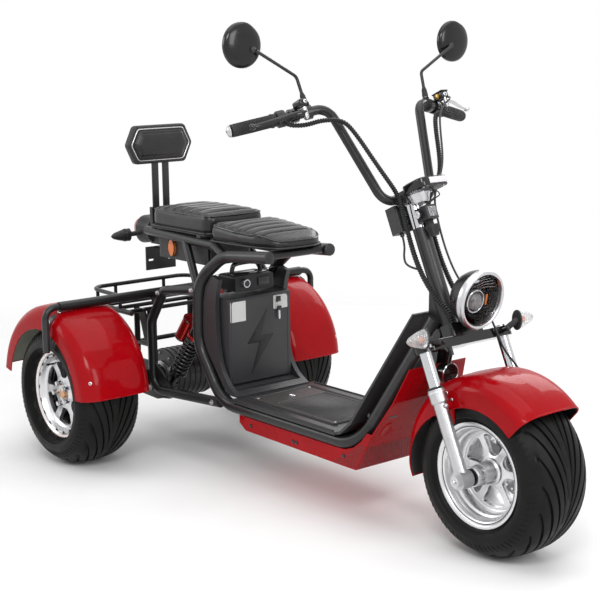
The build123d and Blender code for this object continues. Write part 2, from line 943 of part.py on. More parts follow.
# ---------------------------------------------------------------- rear fenders
def crowned_shell(centre_x, centre_z, centre_y, crown_r, half_w, edge_r, start, sweep_deg):
    """Adds a crowned fender shell turned about a cross line, between two angles."""
    shoulder = crown_r - 10
    outer = [
        (edge_r, half_w),
        (crown_r - 34, half_w - 3),
        (shoulder - 6, half_w - 18),
        (crown_r - 3, half_w - 46),
        (crown_r, 0),
    ]
    inner = [
        (crown_r - fender_t, 0),
        (crown_r - 3 - fender_t, half_w - 47),
        (shoulder - 6 - fender_t + 0.6, half_w - 18 - fender_t + 0.6),
        (crown_r - 34, half_w - 3 - fender_t),
        (edge_r, half_w - fender_t),
    ]
    mirrored_outer = [(r, -w) for r, w in reversed(outer[:-1])]
    mirrored_inner = [(r, -w) for r, w in reversed(inner[1:])]
    start_plane = Plane(
        origin=(centre_x, centre_y, centre_z),
        x_dir=(cos(radians(start)), 0, sin(radians(start))),
        z_dir=(-sin(radians(start)), 0, cos(radians(start))),
    )
    with BuildLine() as outline:
        Polyline(*outer, *mirrored_outer, *mirrored_inner, *inner, close=True)
    with BuildSketch(start_plane) as section:
        make_face(outline.edges())
    revolve(
        section.sketch,
        axis=Axis((centre_x, centre_y, centre_z), (0, -1, 0)),
        revolution_arc=sweep_deg,
    )


fender_centre = along(-30, 0, axle_z + 6.4)
rear_fender_edge = 208
for side, label in ((-1, "right"), (1, "left")):
    with BuildPart() as rear_fender:
        crowned_shell(
            fender_centre.X,
            fender_centre.Z,
            side * (rear_track_half - 8),
            fender_r,
            rear_fender_half,
            rear_fender_edge,
            4,
            166,
        )
    finish(rear_fender, "rear_" + label + "_fender")

# ---------------------------------------------------------------- guard bar
guard_x = 43
sleeve_d = 30
guard_reach = fender_r + sleeve_d / 2 + gap
guard_rise = sqrt(guard_reach**2 - (along(guard_x, 0, 0).X - fender_centre.X) ** 2)
guard_z = fender_centre.Z + guard_rise + 0.1
loop_dir = Vector(-76, 0, -110).normalized()
loop_top = along(120, 0, 540) + Vector(loop_dir.Z, 0, -loop_dir.X) * (loop_tube_d / 2 + gap)
with BuildPart() as guard_bar:
    tube(
        [
            along(guard_x, -540, guard_z - 140),
            along(guard_x, -540, guard_z),
            along(guard_x, 540, guard_z),
            along(guard_x, 540, guard_z - 140),
        ],
        22,
        bend=36,
    )
    rod(along(guard_x, -490, guard_z), along(guard_x, 490, guard_z), sleeve_d)
    # links to the rear loops
    for side in (-1, 1):
        high = loop_top + loop_dir * 25
        low = loop_top + loop_dir * 75
        with BuildSketch(Plane.XZ.offset(-side * frame_half)) as link:
            with BuildLine():
                Polyline(
                    side_point(guard_x - 7, guard_z - 4),
                    side_point(guard_x + 7, guard_z + 10),
                    (high.X, high.Z),
                    (low.X, low.Z),
                    close=True,
                )
            make_face()
        extrude(link.sketch, amount=5, both=True)
finish(guard_bar, "guard_bar")

# ---------------------------------------------------------------- front fender
front_fender_edge = 182


def fender_point(radius, turn):
    """A side profile's point given around the front axle, its turn from the front."""
    return (
        front_axle_x + radius * cos(radians(turn)),
        axle_z + radius * sin(radians(turn)),
    )


tail_edge = [
    fender_point(front_fender_edge - 2, 118),
    fender_point(front_fender_edge + 17, 140),
    fender_point(front_fender_edge + 47, 172),
    fender_point(front_fender_edge + 73, 197),
]
tail_corner = fender_point(front_fender_edge - 30, 197)
with BuildPart() as front_fender:
    crowned_shell(
        front_axle_x, axle_z, 0, front_fender_r, front_fender_half,
        front_fender_edge, 47, 147,
    )
    # the side walls narrow towards the tail
    with BuildSketch(Plane.XZ.offset(0)) as tail_cut:
        with BuildLine():
            Spline(*tail_edge)
            Polyline(tail_edge[-1], tail_corner, tail_edge[0])
        make_face()
    extrude(tail_cut.sketch, amount=front_fender_half + 5, both=True, mode=Mode.SUBTRACT)
    # blocks against the fork legs
    for side in (-1, 1):
        rod(
            on_column(fork_offset, side * (front_fender_half - 3), 193),
            on_column(fork_offset, side * (fork_half - leg_d / 2 - gap), 193),
            22,
        )
finish(front_fender, "front_fender")
# ---------------------------------------------------------------- steering
def column_rod(x, y, low, high, diameter, cut=False):
    """Adds or cuts a round bar parallel to the steering axis."""
    with BuildSketch(column.offset(low)) as round_bar:
        with Locations((x, y)):
            Circle(diameter / 2)
    extrude(
        round_bar.sketch, amount=high - low, mode=Mode.SUBTRACT if cut else Mode.ADD
    )


# the crown, a plate across the stanchions with a taller middle under the head tube
crown_plate_h = 26
with BuildPart() as fork_crown:
    with BuildSketch(column.offset(crown_bottom)) as crown:
        with Locations((fork_offset + 6, 0)):
            RectangleRounded(48, 2 * fork_half, 14)
        with Locations((fork_offset, -fork_half), (fork_offset, fork_half)):
            Circle(27)
    extrude(crown.sketch, amount=crown_plate_h)
    with BuildSketch(column.offset(crown_bottom)) as crown_middle:
        with Locations((fork_offset + 6, 0)):
            RectangleRounded(48, 118, 10)
        Circle(32)
    extrude(crown_middle.sketch, amount=crown_h)
    with BuildSketch(column.offset(crown_bottom)) as crown_bores:
        with Locations((fork_offset, -fork_half), (fork_offset, fork_half)):
            Circle(stanchion_d / 2 + gap / 2)
        Circle(stem_d / 2 + gap / 2)
    extrude(crown_bores.sketch, amount=crown_h, mode=Mode.SUBTRACT)
finish(fork_crown, "fork_crown")

with BuildPart() as steering_stem:
    column_rod(0, 0, crown_bottom, bar_clamp_z - 14, stem_d)
    column_rod(0, 0, head_top + bearing_gap, head_top + bearing_gap + collar_h, 48)
finish(steering_stem, "steering_stem")

leg_inner_depth = 60
with BuildPart() as fork_stanchions:
    for side in (-1, 1):
        column_rod(
            fork_offset, side * fork_half, leg_top - leg_inner_depth + gap,
            crown_bottom + crown_plate_h + 5, stanchion_d,
        )
finish(fork_stanchions, "fork_stanchions")

lug_half = leg_d / 2 + 1
with BuildPart() as fork_legs:
    for side in (-1, 1):
        y = side * fork_half
        column_rod(fork_offset, y, leg_top - 34, leg_top, leg_collar_d)
        column_rod(fork_offset, y, 8, leg_top - 34, leg_d)
        rod(
            on_column(fork_offset, y - lug_half, 0),
            on_column(fork_offset, y + lug_half, 0),
            48,
        )
    for side in (-1, 1):
        y = side * fork_half
        with BuildSketch(column.offset(leg_top - leg_inner_depth)) as leg_bore:
            with Locations((fork_offset, y)):
                Circle(stanchion_d / 2 + gap / 2)
        extrude(leg_bore.sketch, amount=leg_inner_depth, mode=Mode.SUBTRACT)
        with BuildSketch(
            Plane(origin=(front_axle_x, y - lug_half, axle_z), z_dir=(0, 1, 0))
        ) as axle_bore:
            Circle(axle_d / 2 + gap / 2)
        extrude(axle_bore.sketch, amount=2 * lug_half, mode=Mode.SUBTRACT)
finish(fork_legs, "fork_legs")

with BuildPart() as front_axle:
    rod((front_axle_x, -176, axle_z), (front_axle_x, 176, axle_z), axle_d)
    for side in (-1, 1):
        with BuildSketch(
            Plane(
                origin=(front_axle_x, side * (fork_half + lug_half + gap), axle_z),
                z_dir=(0, side, 0),
            )
        ) as nut:
            RegularPolygon(14, 6)
        extrude(nut.sketch, amount=10)
    rod(
        (front_axle_x, -fork_half + lug_half + gap, axle_z),
        (front_axle_x, -front_hub_out - running_gap, axle_z),
        30,
    )
    rod(
        (front_axle_x, fork_half - lug_half - gap, axle_z),
        (front_axle_x, front_hub_in + disc_t + running_gap + gap, axle_z),
        24,
    )
finish(front_axle, "front_axle")

# headlamp, its face looking slightly down the road
lamp_tilt = 9
lamp_r = 80
lamp_face = Plane(
    origin=along(1392, 0, 665),
    x_dir=(0, 1, 0),
    z_dir=(cos(radians(lamp_tilt)), 0, -sin(radians(lamp_tilt))),
)
with BuildPart() as headlamp_bucket:
    with BuildSketch(Plane(origin=lamp_face.origin, x_dir=lamp_face.z_dir, z_dir=(0, 1, 0))):
        with BuildLine():
            Line((-28, lamp_r - 6), (-28, lamp_r - 3))
            ThreePointArc((-28, lamp_r - 3), (-70, lamp_r - 25), (-96, 8))
            Line((-96, 8), (-93, 8))
            ThreePointArc((-93, 8), (-68, lamp_r - 27.5), (-28, lamp_r - 6))
        make_face()
    revolve(axis=Axis(lamp_face.origin, lamp_face.z_dir))
    column_rod(48, 0, crown_top + gap, crown_top + 54, 22)
finish(headlamp_bucket, "headlamp_bucket")

with BuildPart() as headlamp_rim:
    with BuildSketch(lamp_face.offset(-28 + gap)) as rim_ring:
        Circle(lamp_r)
        Circle(lamp_r - 12, mode=Mode.SUBTRACT)
    extrude(rim_ring.sketch, amount=28)
finish(headlamp_rim, "headlamp_rim")

with BuildPart() as headlamp_lens:
    with BuildSketch(lamp_face.offset(-28 + gap)) as glass:
        Circle(lamp_r - 12 - gap)
    extrude(glass.sketch, amount=22)
finish(headlamp_lens, "headlamp_lens")

with BuildPart() as front_indicators:
    for side in (-1, 1):
        start = on_column(fork_offset + 30 + gap, side * 120, crown_bottom + 13)
        knee = on_column(fork_offset + 44, side * 120, crown_bottom + 13)
        end = on_column(fork_offset + 44, side * 173, crown_bottom + 32)
        inner = on_column(fork_offset + 44, side * 179, crown_bottom + 34)
        rod(start, on_column(fork_offset + 53, side * 120, crown_bottom + 13), 14)
        rod(knee, inner, 11)
        base = Plane(origin=end, x_dir=(1, 0, 0), z_dir=(0, side, 0))
        with BuildSketch(base) as wide:
            Ellipse(16, 27)
        with BuildSketch(base.offset(60)) as tip:
            Ellipse(4, 6)
        loft(sections=[wide.sketch, tip.sketch])
finish(front_indicators, "front_indicators")

horn_d = 56
with BuildPart() as horn:
    rod(on_column(-76, 0, 290), on_column(-52, 0, 279), horn_d)
    rod(on_column(-28, 0, crown_bottom - 8), on_column(-60, 0, 290), 12)
    column_rod(-26, 0, crown_bottom - 14, crown_bottom - gap, 14)
finish(horn, "horn")

# ---------------------------------------------------------------- handlebar
bar_pts = [
    (-6, 0, bar_clamp_z),
    (-14, 92, bar_clamp_z + 4),
    (-36, 170, 1050),
    (-136, 432, 1036),
]
with BuildPart() as handlebar:
    tube(
        [on_column(x, -y, z) for x, y, z in reversed(bar_pts[1:])]
        + [on_column(x, y, z) for x, y, z in bar_pts[1:]],
        bar_d,
        bend=44,
    )
finish(handlebar, "handlebar")

display_low = 765
cup_h = 27
with BuildPart() as bar_clamp:
    with BuildSketch(column.offset(bar_clamp_z - 14 + gap)) as clamp:
        with Locations((-8, 0)):
            RectangleRounded(48, 70, 8)
    extrude(clamp.sketch, amount=36)
    with BuildSketch(column.offset(display_low - gap - cup_h)) as cup:
        with Locations((28, 0)):
            Circle(22)
    extrude(cup.sketch, amount=cup_h, taper=-22)
    column_rod(0, 0, head_top, bar_clamp_z - 14 + gap, stem_d + 2 * gap, cut=True)
    column_rod(0, 0, head_top, head_top + bearing_gap + collar_h + gap, 48 + 2 * gap, cut=True)
    with BuildSketch(
        Plane(origin=on_column(-14, -50, bar_clamp_z + 4), z_dir=(0, 1, 0))
    ) as clamp_bore:
        Circle(bar_d / 2 + gap / 2)
    extrude(clamp_bore.sketch, amount=100, mode=Mode.SUBTRACT)
finish(bar_clamp, "bar_clamp")

# the straight run of each bar end, from the last bend to the tip
bend_end = Vector(*bar_pts[2])
bar_end = Vector(*bar_pts[3])


def on_bar(side, distance):
    """A point on a bar's straight end, measured inward from its tip."""
    back = (bend_end - bar_end).normalized()
    point = bar_end + back * distance
    return on_column(point.X, side * point.Y, point.Z)


grip_l = 128
with BuildPart() as grips:
    for side in (-1, 1):
        rod(on_bar(side, 0), on_bar(side, grip_l), grip_d, bar_d + gap)
        rod(on_bar(side, -12), on_bar(side, -gap), grip_d)
finish(grips, "grips")

with BuildPart() as switch_pods:
    for side in (-1, 1):
        rod(on_bar(side, grip_l + 3), on_bar(side, grip_l + 27), 46, bar_d + gap)
finish(switch_pods, "switch_pods")

lever_l = 150
with BuildPart() as brake_controls:
    for side in (-1, 1):
        rod(on_bar(side, grip_l + 36), on_bar(side, grip_l + 64), 40, bar_d + gap)
        inner = on_bar(side, grip_l + 52)
        with Locations(inner + column.x_dir * 38 + column.z_dir * 18):
            Box(44, 30, 26)
        pivot = inner + column.x_dir * 52
        tip = on_bar(side, grip_l + 52 - lever_l) + column.x_dir * 46
        rod(pivot, tip, 12)
        with Locations(tip):
            Sphere(9)
finish(brake_controls, "brake_controls")

mirror_centre = (-42, 392, 1237)
mirror_base = (-57, 225, 1063)
with BuildPart() as mirror_stems:
    for side in (-1, 1):
        rod(on_bar(side, 213), on_bar(side, 231), 40, bar_d + gap)
        mirror_point = on_column(
            mirror_centre[0], side * mirror_centre[1], mirror_centre[2]
        )
        tube(
            [
                on_column(mirror_base[0], side * mirror_base[1], mirror_base[2]),
                on_column(-51, side * 233, 1148),
                mirror_point + Vector(16 + 4.5 + gap, -side * 30, -15),
            ],
            9,
            bend=18,
        )
finish(mirror_stems, "mirror_stems")

with BuildPart() as mirrors:
    for side in (-1, 1):
        face = Plane(
            origin=on_column(mirror_centre[0], side * mirror_centre[1], mirror_centre[2]),
            x_dir=(0, 1, 0),
            z_dir=(-1, 0, 0),
        )
        with BuildSketch(face) as glass:
            Circle(mirror_d / 2)
        extrude(glass.sketch, amount=8)
        with BuildSketch(face) as back:
            Circle(mirror_d / 2)
        extrude(back.sketch, amount=-16, taper=50)
finish(mirrors, "mirrors")

with BuildPart() as dash_display:
    with BuildSketch(column.offset(display_low)) as dash:
        with Locations((66, 0)):
            RectangleRounded(84, 108, 24)
    extrude(dash.sketch, amount=26)
    display_face = dash_display.faces().sort_by(Axis(column.origin, column.z_dir))[-1]
    fillet(display_face.edges(), 5)
finish(dash_display, "dash_display")

# ---------------------------------------------------------------- column fittings
lock_low = 685
with BuildPart() as column_fittings:
    # lock block with its barrel, and the bag hook under it
    with BuildSketch(column.offset(lock_low)) as lock_block:
        with Locations((44, -6)):
            RectangleRounded(48, 40, 5)
    extrude(lock_block.sketch, amount=38)
    rod(on_column(38, -24, lock_low + 20), on_column(38, -36, lock_low + 20), 22)
    with BuildSketch(column.offset(lock_low)) as hook_neck:
        with Locations((38, 0)):
            Rectangle(14, 18)
    extrude(hook_neck.sketch, amount=-16)
    with BuildSketch(column.offset(lock_low - 14)) as hook:
        with Locations((44, 0)):
            RectangleRounded(30, 34, 4)
    extrude(hook.sketch, amount=-30, taper=14)
    # control box behind the column
    with BuildSketch(column.offset(lock_low - 3)) as control_box:
        with Locations((-55, -18)):
            RectangleRounded(43, 44, 6)
    extrude(control_box.sketch, amount=75)
    rod(on_column(-15, 0, 712), on_column(-40, 0, 712), 24)
    column_rod(0, 0, head_top, bar_clamp_z, 48 + 2 * gap, cut=True)
finish(column_fittings, "column_fittings")

# ---------------------------------------------------------------- front brake
with BuildPart() as front_caliper:
    disc_side = front_hub_in + gap
    reach = Vector(-52, 0, 46).normalized()
    arm = Plane(
        origin=(front_axle_x, 0, axle_z),
        x_dir=column.x_dir * reach.X + column.z_dir * reach.Z,
        z_dir=(0, 1, 0),
    )
    with BuildSketch(arm.offset(disc_side - 15)) as caliper_body:
        with Locations((79, 0)):
            RectangleRounded(42, 40, 7)
    extrude(caliper_body.sketch, amount=40)
    with BuildSketch(arm.offset(disc_side - running_gap)) as slot:
        Circle(disc_d / 2 + running_gap)
    extrude(slot.sketch, amount=disc_t + 2 * running_gap, mode=Mode.SUBTRACT)
    lug = Vector(-24, disc_side + 22, 50)
    leg_side = Vector(fork_offset, fork_half, 50)
    lug_end = leg_side + (lug - leg_side).normalized() * (leg_d / 2 + gap)
    rod(on_column(*lug_end), on_column(*lug), 14)
finish(front_caliper, "front_caliper")

# ---------------------------------------------------------------- cables
loom_d = 10
loom_route = [
    (-67.6, 299.1, 1026.9),
    (-56.6, 303.3, 1015.1),
    (-42, 286, 1006),
    (-28, 262, 1002),
    (-12, 226, 1006),
    (8, 182, 998),
    (17, 156, 972),
    (31, 116, 850),
    (31, 94, 806),
    (18, 66, 776),
    (4, 50, 744),
    (-4, 46, 690),
    (-8, 46, 600),
    (2, 44, 530),
    (22, 38, 470),
    (38, 26, 432),
    (38, 26, crown_top + gap),
]
hose_route = [
    (-13.66, 264, 1053.86),
    (-0.9, 264, 1048.1),
    (13, 248, 1038),
    (20, 215, 1022),
    (30, 172, 992),
    (44, 140, 940),
    (48, 112, 850),
    (42, 84, 800),
    (26, 64, 764),
    (16, 58, 720),
    (10, 56, 620),
    (20, 56, 530),
    (44, 66, 460),
    (68, 84, 410),
    (70, 92, 350),
    (64, 104, 300),
    (60, 132, 262),
    (61, 147.5, 225),
    (58, 147.5, 150),
    (54, 140, 110),
    (38, 122, 84),
    (2, 112, 70),
    (-27, 106, 58),
    (-27, 87.6, 58),
]
box_route = [
    (-54, -22, lock_low - 3 - gap),
    (-54, -22, 650),
    (-52, -44, 612),
    (-34, -56, 584),
    (-12.6, -48, 570),
]
with BuildPart() as control_cables:
    for side in (-1, 1):
        cable([on_column(x, side * y, z) for x, y, z in loom_route], loom_d)
    cable([on_column(*point) for point in hose_route], 6)
    cable([on_column(*point) for point in box_route], 6)
finish(control_cables, "control_cables")
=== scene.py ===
"""Looks of the electric three-wheel scooter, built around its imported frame.

Everything is in metres in the part's own frame: +X forward, +Y to the rider's left, +Z up.
"""

import math

import bmesh
import bpy
from mathutils import Matrix, Vector
from mathutils.bvhtree import BVHTree


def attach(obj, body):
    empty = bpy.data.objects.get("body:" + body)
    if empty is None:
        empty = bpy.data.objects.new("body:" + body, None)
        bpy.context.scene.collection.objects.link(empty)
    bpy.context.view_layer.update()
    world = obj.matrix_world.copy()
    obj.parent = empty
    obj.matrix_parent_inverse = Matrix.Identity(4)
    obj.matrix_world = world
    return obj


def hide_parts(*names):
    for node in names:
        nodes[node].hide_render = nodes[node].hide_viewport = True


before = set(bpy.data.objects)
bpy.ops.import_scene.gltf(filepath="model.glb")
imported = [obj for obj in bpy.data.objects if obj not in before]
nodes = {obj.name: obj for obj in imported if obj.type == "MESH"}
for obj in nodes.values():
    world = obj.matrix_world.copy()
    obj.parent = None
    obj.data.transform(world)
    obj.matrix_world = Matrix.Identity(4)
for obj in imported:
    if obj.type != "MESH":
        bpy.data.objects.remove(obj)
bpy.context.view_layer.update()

# ---------------------------------------------------------------- places
X_AXIS, Y_AXIS, Z_AXIS = Vector((1, 0, 0)), Vector((0, 1, 0)), Vector((0, 0, 1))
REAR_X = -0.6934
WHEELBASE = 1.464
FRONT_X = REAR_X + WHEELBASE
AXLE_Z = 0.2286
TRACK_HALF = 0.406
RAKE = math.radians(24.2)
FORK_OFFSET = 0.032
FORK_HALF = 0.1475

column_x = Vector((math.cos(RAKE), 0, math.sin(RAKE)))
column_z = Vector((-math.sin(RAKE), 0, math.cos(RAKE)))
column_foot = Vector((FRONT_X, 0, AXLE_Z)) - column_x * FORK_OFFSET


def on_column(x, y, z):
    """A point given along the steering column, in metres."""
    return column_foot + column_x * x + Y_AXIS * y + column_z * z


def along(x, y, z):
    """A point given from the rear axle line, in metres."""
    return Vector((REAR_X + x, y, z))


# ---------------------------------------------------------------- material nodes
def add_node(tree, kind, inputs, **settings):
    """A node with its settings; an input takes a value or a link from another node's output."""
    node = tree.nodes.new("ShaderNode" + kind)
    for key, value in settings.items():
        setattr(node, key, value)
    set_inputs(tree, node, inputs)
    return node


def set_inputs(tree, node, inputs):
    for socket, value in inputs.items():
        if isinstance(value, bpy.types.NodeSocket):
            tree.links.new(value, node.inputs[socket])
        else:
            node.inputs[socket].default_value = value


def new_material(name, inputs):
    mat = bpy.data.materials.new(name)
    mat.use_nodes = True
    tree = mat.node_tree
    shader = next(n for n in tree.nodes if n.type == "BSDF_PRINCIPLED")
    set_inputs(tree, shader, inputs)
    return mat, tree, shader


def coords(tree, scale=1.0):
    """Object coordinates, so that a pattern keeps its real size."""
    source = add_node(tree, "TexCoord", {})
    scale = (scale,) * 3 if isinstance(scale, (int, float)) else scale
    mapping = add_node(tree, "Mapping", {"Scale": scale, "Vector": source.outputs["Object"]})
    return mapping.outputs["Vector"]


def noise(tree, scale, detail=3.0, rough=0.5, stretch=1.0, distortion=0.0):
    node = add_node(tree, "TexNoise", {
        "Scale": scale, "Detail": detail, "Roughness": rough, "Distortion": distortion,
        "Vector": coords(tree, stretch),
    })
    return node.outputs["Fac"]


def cells(tree, scale):
    node = add_node(tree, "TexVoronoi", {"Scale": scale, "Vector": coords(tree)})
    return node.outputs["Distance"]


def ramp(tree, value, low, high, low_at=0.3, high_at=0.7):
    """Maps a value to a grey or a colour between two stops."""
    node = add_node(tree, "ValToRGB", {"Fac": value})
    first, last = node.color_ramp.elements
    for stop, at, colour in ((first, low_at, low), (last, high_at, high)):
        stop.position = at
        if isinstance(colour, (int, float)):
            colour = (colour,) * 3
        stop.color = (*colour[:3], 1)
    return node.outputs["Color"]


def add_bump(tree, shader, height, strength, distance, after=None):
    inputs = {"Strength": strength, "Distance": distance, "Height": height}
    if after is not None:
        inputs["Normal"] = after
    normal = add_node(tree, "Bump", inputs).outputs["Normal"]
    tree.links.new(normal, shader.inputs["Normal"])
    return normal


def mix_colour(tree, factor, a, b):
    node = add_node(tree, "Mix", {"Factor": factor}, data_type="RGBA")
    for socket, value in (("A", a), ("B", b)):
        target = next(s for s in node.inputs if s.name == socket and s.type == "RGBA")
        if isinstance(value, bpy.types.NodeSocket):
            tree.links.new(value, target)
        else:
            target.default_value = (*value, 1)
    return next(s for s in node.outputs if s.type == "RGBA")


def shades(colour, darker, lighter, lift=0.0):
    """A darker and a lighter shade of the colour."""
    return tuple(c * darker for c in colour), tuple(min(1, c * lighter + lift) for c in colour)


def surface(
    name, colour, rough, grain, grain_height, mottle=0.06, spread=0.06, metal=0.0, coat=0.0,
    coat_rough=0.05, specular=0.5, wear=None, mottle_scale=30,
):
    """A finished opaque material: mottled colour, uneven roughness and a fine grain."""
    mat, tree, shader = new_material(name, {"Metallic": metal, "Specular IOR Level": specular})
    if coat:
        set_inputs(tree, shader, {"Coat Weight": coat, "Coat Roughness": coat_rough})
    cloud = noise(tree, mottle_scale, 5, 0.6)
    tint = ramp(tree, cloud, *shades(colour, 1 - mottle, 1 + mottle, mottle * 0.01))
    if wear:
        # brighter where the surface is convex: real edges and rims
        geometry = add_node(tree, "NewGeometry", {})
        edges = ramp(tree, geometry.outputs["Pointiness"], 0, 1, 0.5, 0.56)
        tint = mix_colour(tree, edges, tint, wear)
    uneven = ramp(tree, noise(tree, mottle_scale * 2.3, 4), rough - spread, rough + spread)
    set_inputs(tree, shader, {"Base Color": tint, "Roughness": uneven})
    add_bump(tree, shader, noise(tree, grain, 4, 0.6), grain_height, 0.0008)
    return mat


def brushed(name, colour, rough, stretch, scale):
    """Metal with a drawn or turned grain along one direction."""
    mat, tree, shader = new_material(name, {"Metallic": 1.0})
    streaks = noise(tree, scale, 6, 0.7, stretch)
    set_inputs(tree, shader, {
        "Base Color": ramp(tree, streaks, *shades(colour, 0.88, 1.06)),
        "Roughness": ramp(tree, streaks, rough - 0.07, rough + 0.09, 0.25, 0.75),
    })
    add_bump(tree, shader, streaks, 0.06, 0.0005)
    return mat


def red_paint(name):
    """Gloss red moulding: a deep colour under a clear coat with a faint ripple."""
    mat, tree, shader = new_material(name, {
        "Specular IOR Level": 0.04, "Coat Weight": 0.22, "Coat Roughness": 0.035,
    })
    cloud = noise(tree, 6, 4, 0.6)
    set_inputs(tree, shader, {
        "Base Color": ramp(tree, cloud, (0.3, 0.0008, 0.0035), (0.38, 0.0014, 0.005)),
        "Roughness": ramp(tree, noise(tree, 45, 5), 0.24, 0.36),
    })
    add_bump(tree, shader, noise(tree, 60, 2, 0.4), 0.03, 0.0006)
    return mat


def tyre_rubber(name):
    """Dark rubber, dusty in patches, with fine moulding marks."""
    mat, tree, shader = new_material(name, {"Specular IOR Level": 0.16})
    cloud = noise(tree, 14, 6, 0.65)
    base = ramp(tree, cloud, (0.0035, 0.0036, 0.0035), (0.008, 0.0082, 0.0078), 0.3, 0.75)
    dust = ramp(tree, noise(tree, 4, 8, 0.72), 0.0, 0.25, 0.5, 0.8)
    set_inputs(tree, shader, {
        "Base Color": mix_colour(tree, dust, base, (0.02, 0.0195, 0.018)),
        "Roughness": ramp(tree, noise(tree, 26, 5), 0.34, 0.54),
    })
    add_bump(tree, shader, noise(tree, 500, 3, 0.7), 0.12, 0.0006)
    return mat


def leather(name, colour):
    """Black vinyl leather with a pebble grain and soft creases."""
    mat, tree, shader = new_material(name, {"Specular IOR Level": 0.38, "Sheen Weight": 0.12})
    set_inputs(tree, shader, {
        "Base Color": ramp(tree, noise(tree, 12, 6, 0.6), *shades(colour, 0.75, 1.35)),
        "Roughness": ramp(tree, noise(tree, 30, 5), 0.26, 0.38),
    })
    first = add_bump(tree, shader, cells(tree, 900), 0.1, 0.0004)
    add_bump(tree, shader, noise(tree, 22, 4, 0.5, 1.0, 0.6), 0.05, 0.002, first)
    return mat


def lens(name, colour, rough, transmission, flutes=0, height=0.35, ior=1.49):
    """Moulded clear or tinted plastic, with fine flutes where they are given."""
    mat, tree, shader = new_material(name, {"Transmission Weight": transmission, "IOR": ior})
    cloud = noise(tree, 40, 4)
    set_inputs(tree, shader, {
        "Base Color": ramp(tree, cloud, *shades(colour, 0.8, 1.15)),
        "Roughness": ramp(tree, cloud, rough, rough + 0.05),
    })
    if flutes:
        scale = flutes / 6.28
        wave = add_node(
            tree, "TexWave", {"Scale": scale, "Vector": coords(tree)}, bands_direction="Y"
        )
        add_bump(tree, shader, wave.outputs["Fac"], height, 0.0008)
    return mat


# ---------------------------------------------------------------- materials
paint_red = red_paint("red_gloss_paint")
frame_black = surface(
    "frame_black_powder", (0.0085, 0.0085, 0.0092), 0.33, 900, 0.1, 0.12, 0.05, coat=0.15,
    coat_rough=0.12, specular=0.28, wear=(0.03, 0.03, 0.032),
)
gloss_black = surface(
    "gloss_black_enamel", (0.006, 0.006, 0.0065), 0.16, 70, 0.03, 0.1, 0.04, coat=0.5,
    specular=0.25,
)
plastic_black = surface(
    "black_moulded_plastic", (0.013, 0.013, 0.0138), 0.46, 1400, 0.25, 0.12, 0.07,
    specular=0.35, wear=(0.035, 0.035, 0.037),
)
battery_black = surface(
    "battery_case_plastic", (0.016, 0.016, 0.0175), 0.38, 1100, 0.16, 0.1,
    wear=(0.03, 0.03, 0.033),
)
grip_rubber = surface("grip_rubber", (0.018,) * 3, 0.62, 1500, 0.35, 0.2, specular=0.35)
seat_leather = leather("seat_leather", (0.013, 0.0122, 0.0124))
chrome = surface("chrome_plate", (0.58, 0.59, 0.61), 0.1, 40, 0.006, 0.03, 0.025, 1.0)
cast_aluminium = surface("cast_aluminium", (0.52, 0.52, 0.53), 0.38, 420, 0.16, 0.06, 0.07, 1.0)
polished_rim = surface("polished_rim", (0.7, 0.7, 0.71), 0.3, 130, 0.015, 0.03, 0.04, 1.0)
turned_steel = brushed("turned_steel", (0.58, 0.58, 0.6), 0.27, (40, 1, 40), 30)
disc_steel = brushed("disc_steel", (0.5, 0.5, 0.52), 0.3, (1, 60, 1), 45)
satin_lip = surface("satin_rim_lip", (0.8, 0.72, 0.7), 0.24, 220, 0.05, 0.05, metal=1.0)
copper_cap = surface("copper_hub_cap", (0.62, 0.36, 0.22), 0.26, 260, 0.06, 0.08, metal=1.0)
deck_black = surface("deck_satin", (0.044, 0.04, 0.039), 0.42, 600, 0.2, 0.12)
red_anodised = surface(
    "red_anodised_shock", (0.5, 0.012, 0.012), 0.22, 160, 0.05, 0.1, metal=0.75, coat=0.5
)
mirror_glass = surface("mirror_silver", (0.86, 0.88, 0.9), 0.02, 12, 0.01, 0.01, 0.01, 1.0)
tyre_mat = tyre_rubber("tyre_rubber_compound")
red_lens = lens("red_tail_lens", (0.75, 0.01, 0.012), 0.08, 0.55, 240)
amber_lens = surface("amber_reflector", (0.85, 0.2, 0.012), 0.14, 900, 0.5, 0.2, 0.04, coat=0.7)
clear_lens = lens("clear_lens", (0.78, 0.79, 0.8), 0.06, 0.72, 300, 0.6)
head_glass = lens("headlamp_glass", (0.98, 0.98, 0.985), 0.0, 1.0, ior=1.12)
brass = surface("brass_fitting", (0.62, 0.45, 0.16), 0.28, 300, 0.1, metal=1.0)
liner_grey = surface("fender_liner", (0.3, 0.31, 0.25), 0.7, 350, 0.3, 0.25, mottle_scale=14)
white_label = surface("blank_label", (0.72, 0.72, 0.7), 0.42, 300, 0.05, 0.04)
bucket_black = surface(
    "headlamp_bucket_paint", (0.008, 0.008, 0.0085), 0.34, 700, 0.08, 0.1, coat=0.25,
    coat_rough=0.2, specular=0.25,
)
reflector_dark = surface(
    "dark_reflector", (0.045, 0.042, 0.042), 0.13, 90, 0.12, 0.25, metal=1.0, mottle_scale=60
)
projector_glass = lens("projector_glass", (0.55, 0.53, 0.54), 0.02, 0.6)
bolt_black = surface("bolt_emblem", (0.003, 0.003, 0.0032), 0.5, 500, 0.05, 0.1)
button_red = surface("red_button", (0.55, 0.01, 0.01), 0.35, 600, 0.1)
button_green = surface("green_button", (0.02, 0.25, 0.05), 0.35, 600, 0.1)
mirror_shell = surface(
    "mirror_shell", (0.006, 0.006, 0.0065), 0.24, 800, 0.08, 0.12, coat=0.35, coat_rough=0.12,
    specular=0.2,
)
screen_glass = surface("screen_glass", (0.02, 0.024, 0.026), 0.08, 30, 0.01, 0.2, coat=0.8)
loom_black = surface("loom_wrap", (0.009, 0.009, 0.0095), 0.4, 1200, 0.15, 0.12, specular=0.3)
hose_rubber = surface("hose_rubber", (0.013,) * 3, 0.5, 1500, 0.2, 0.15)
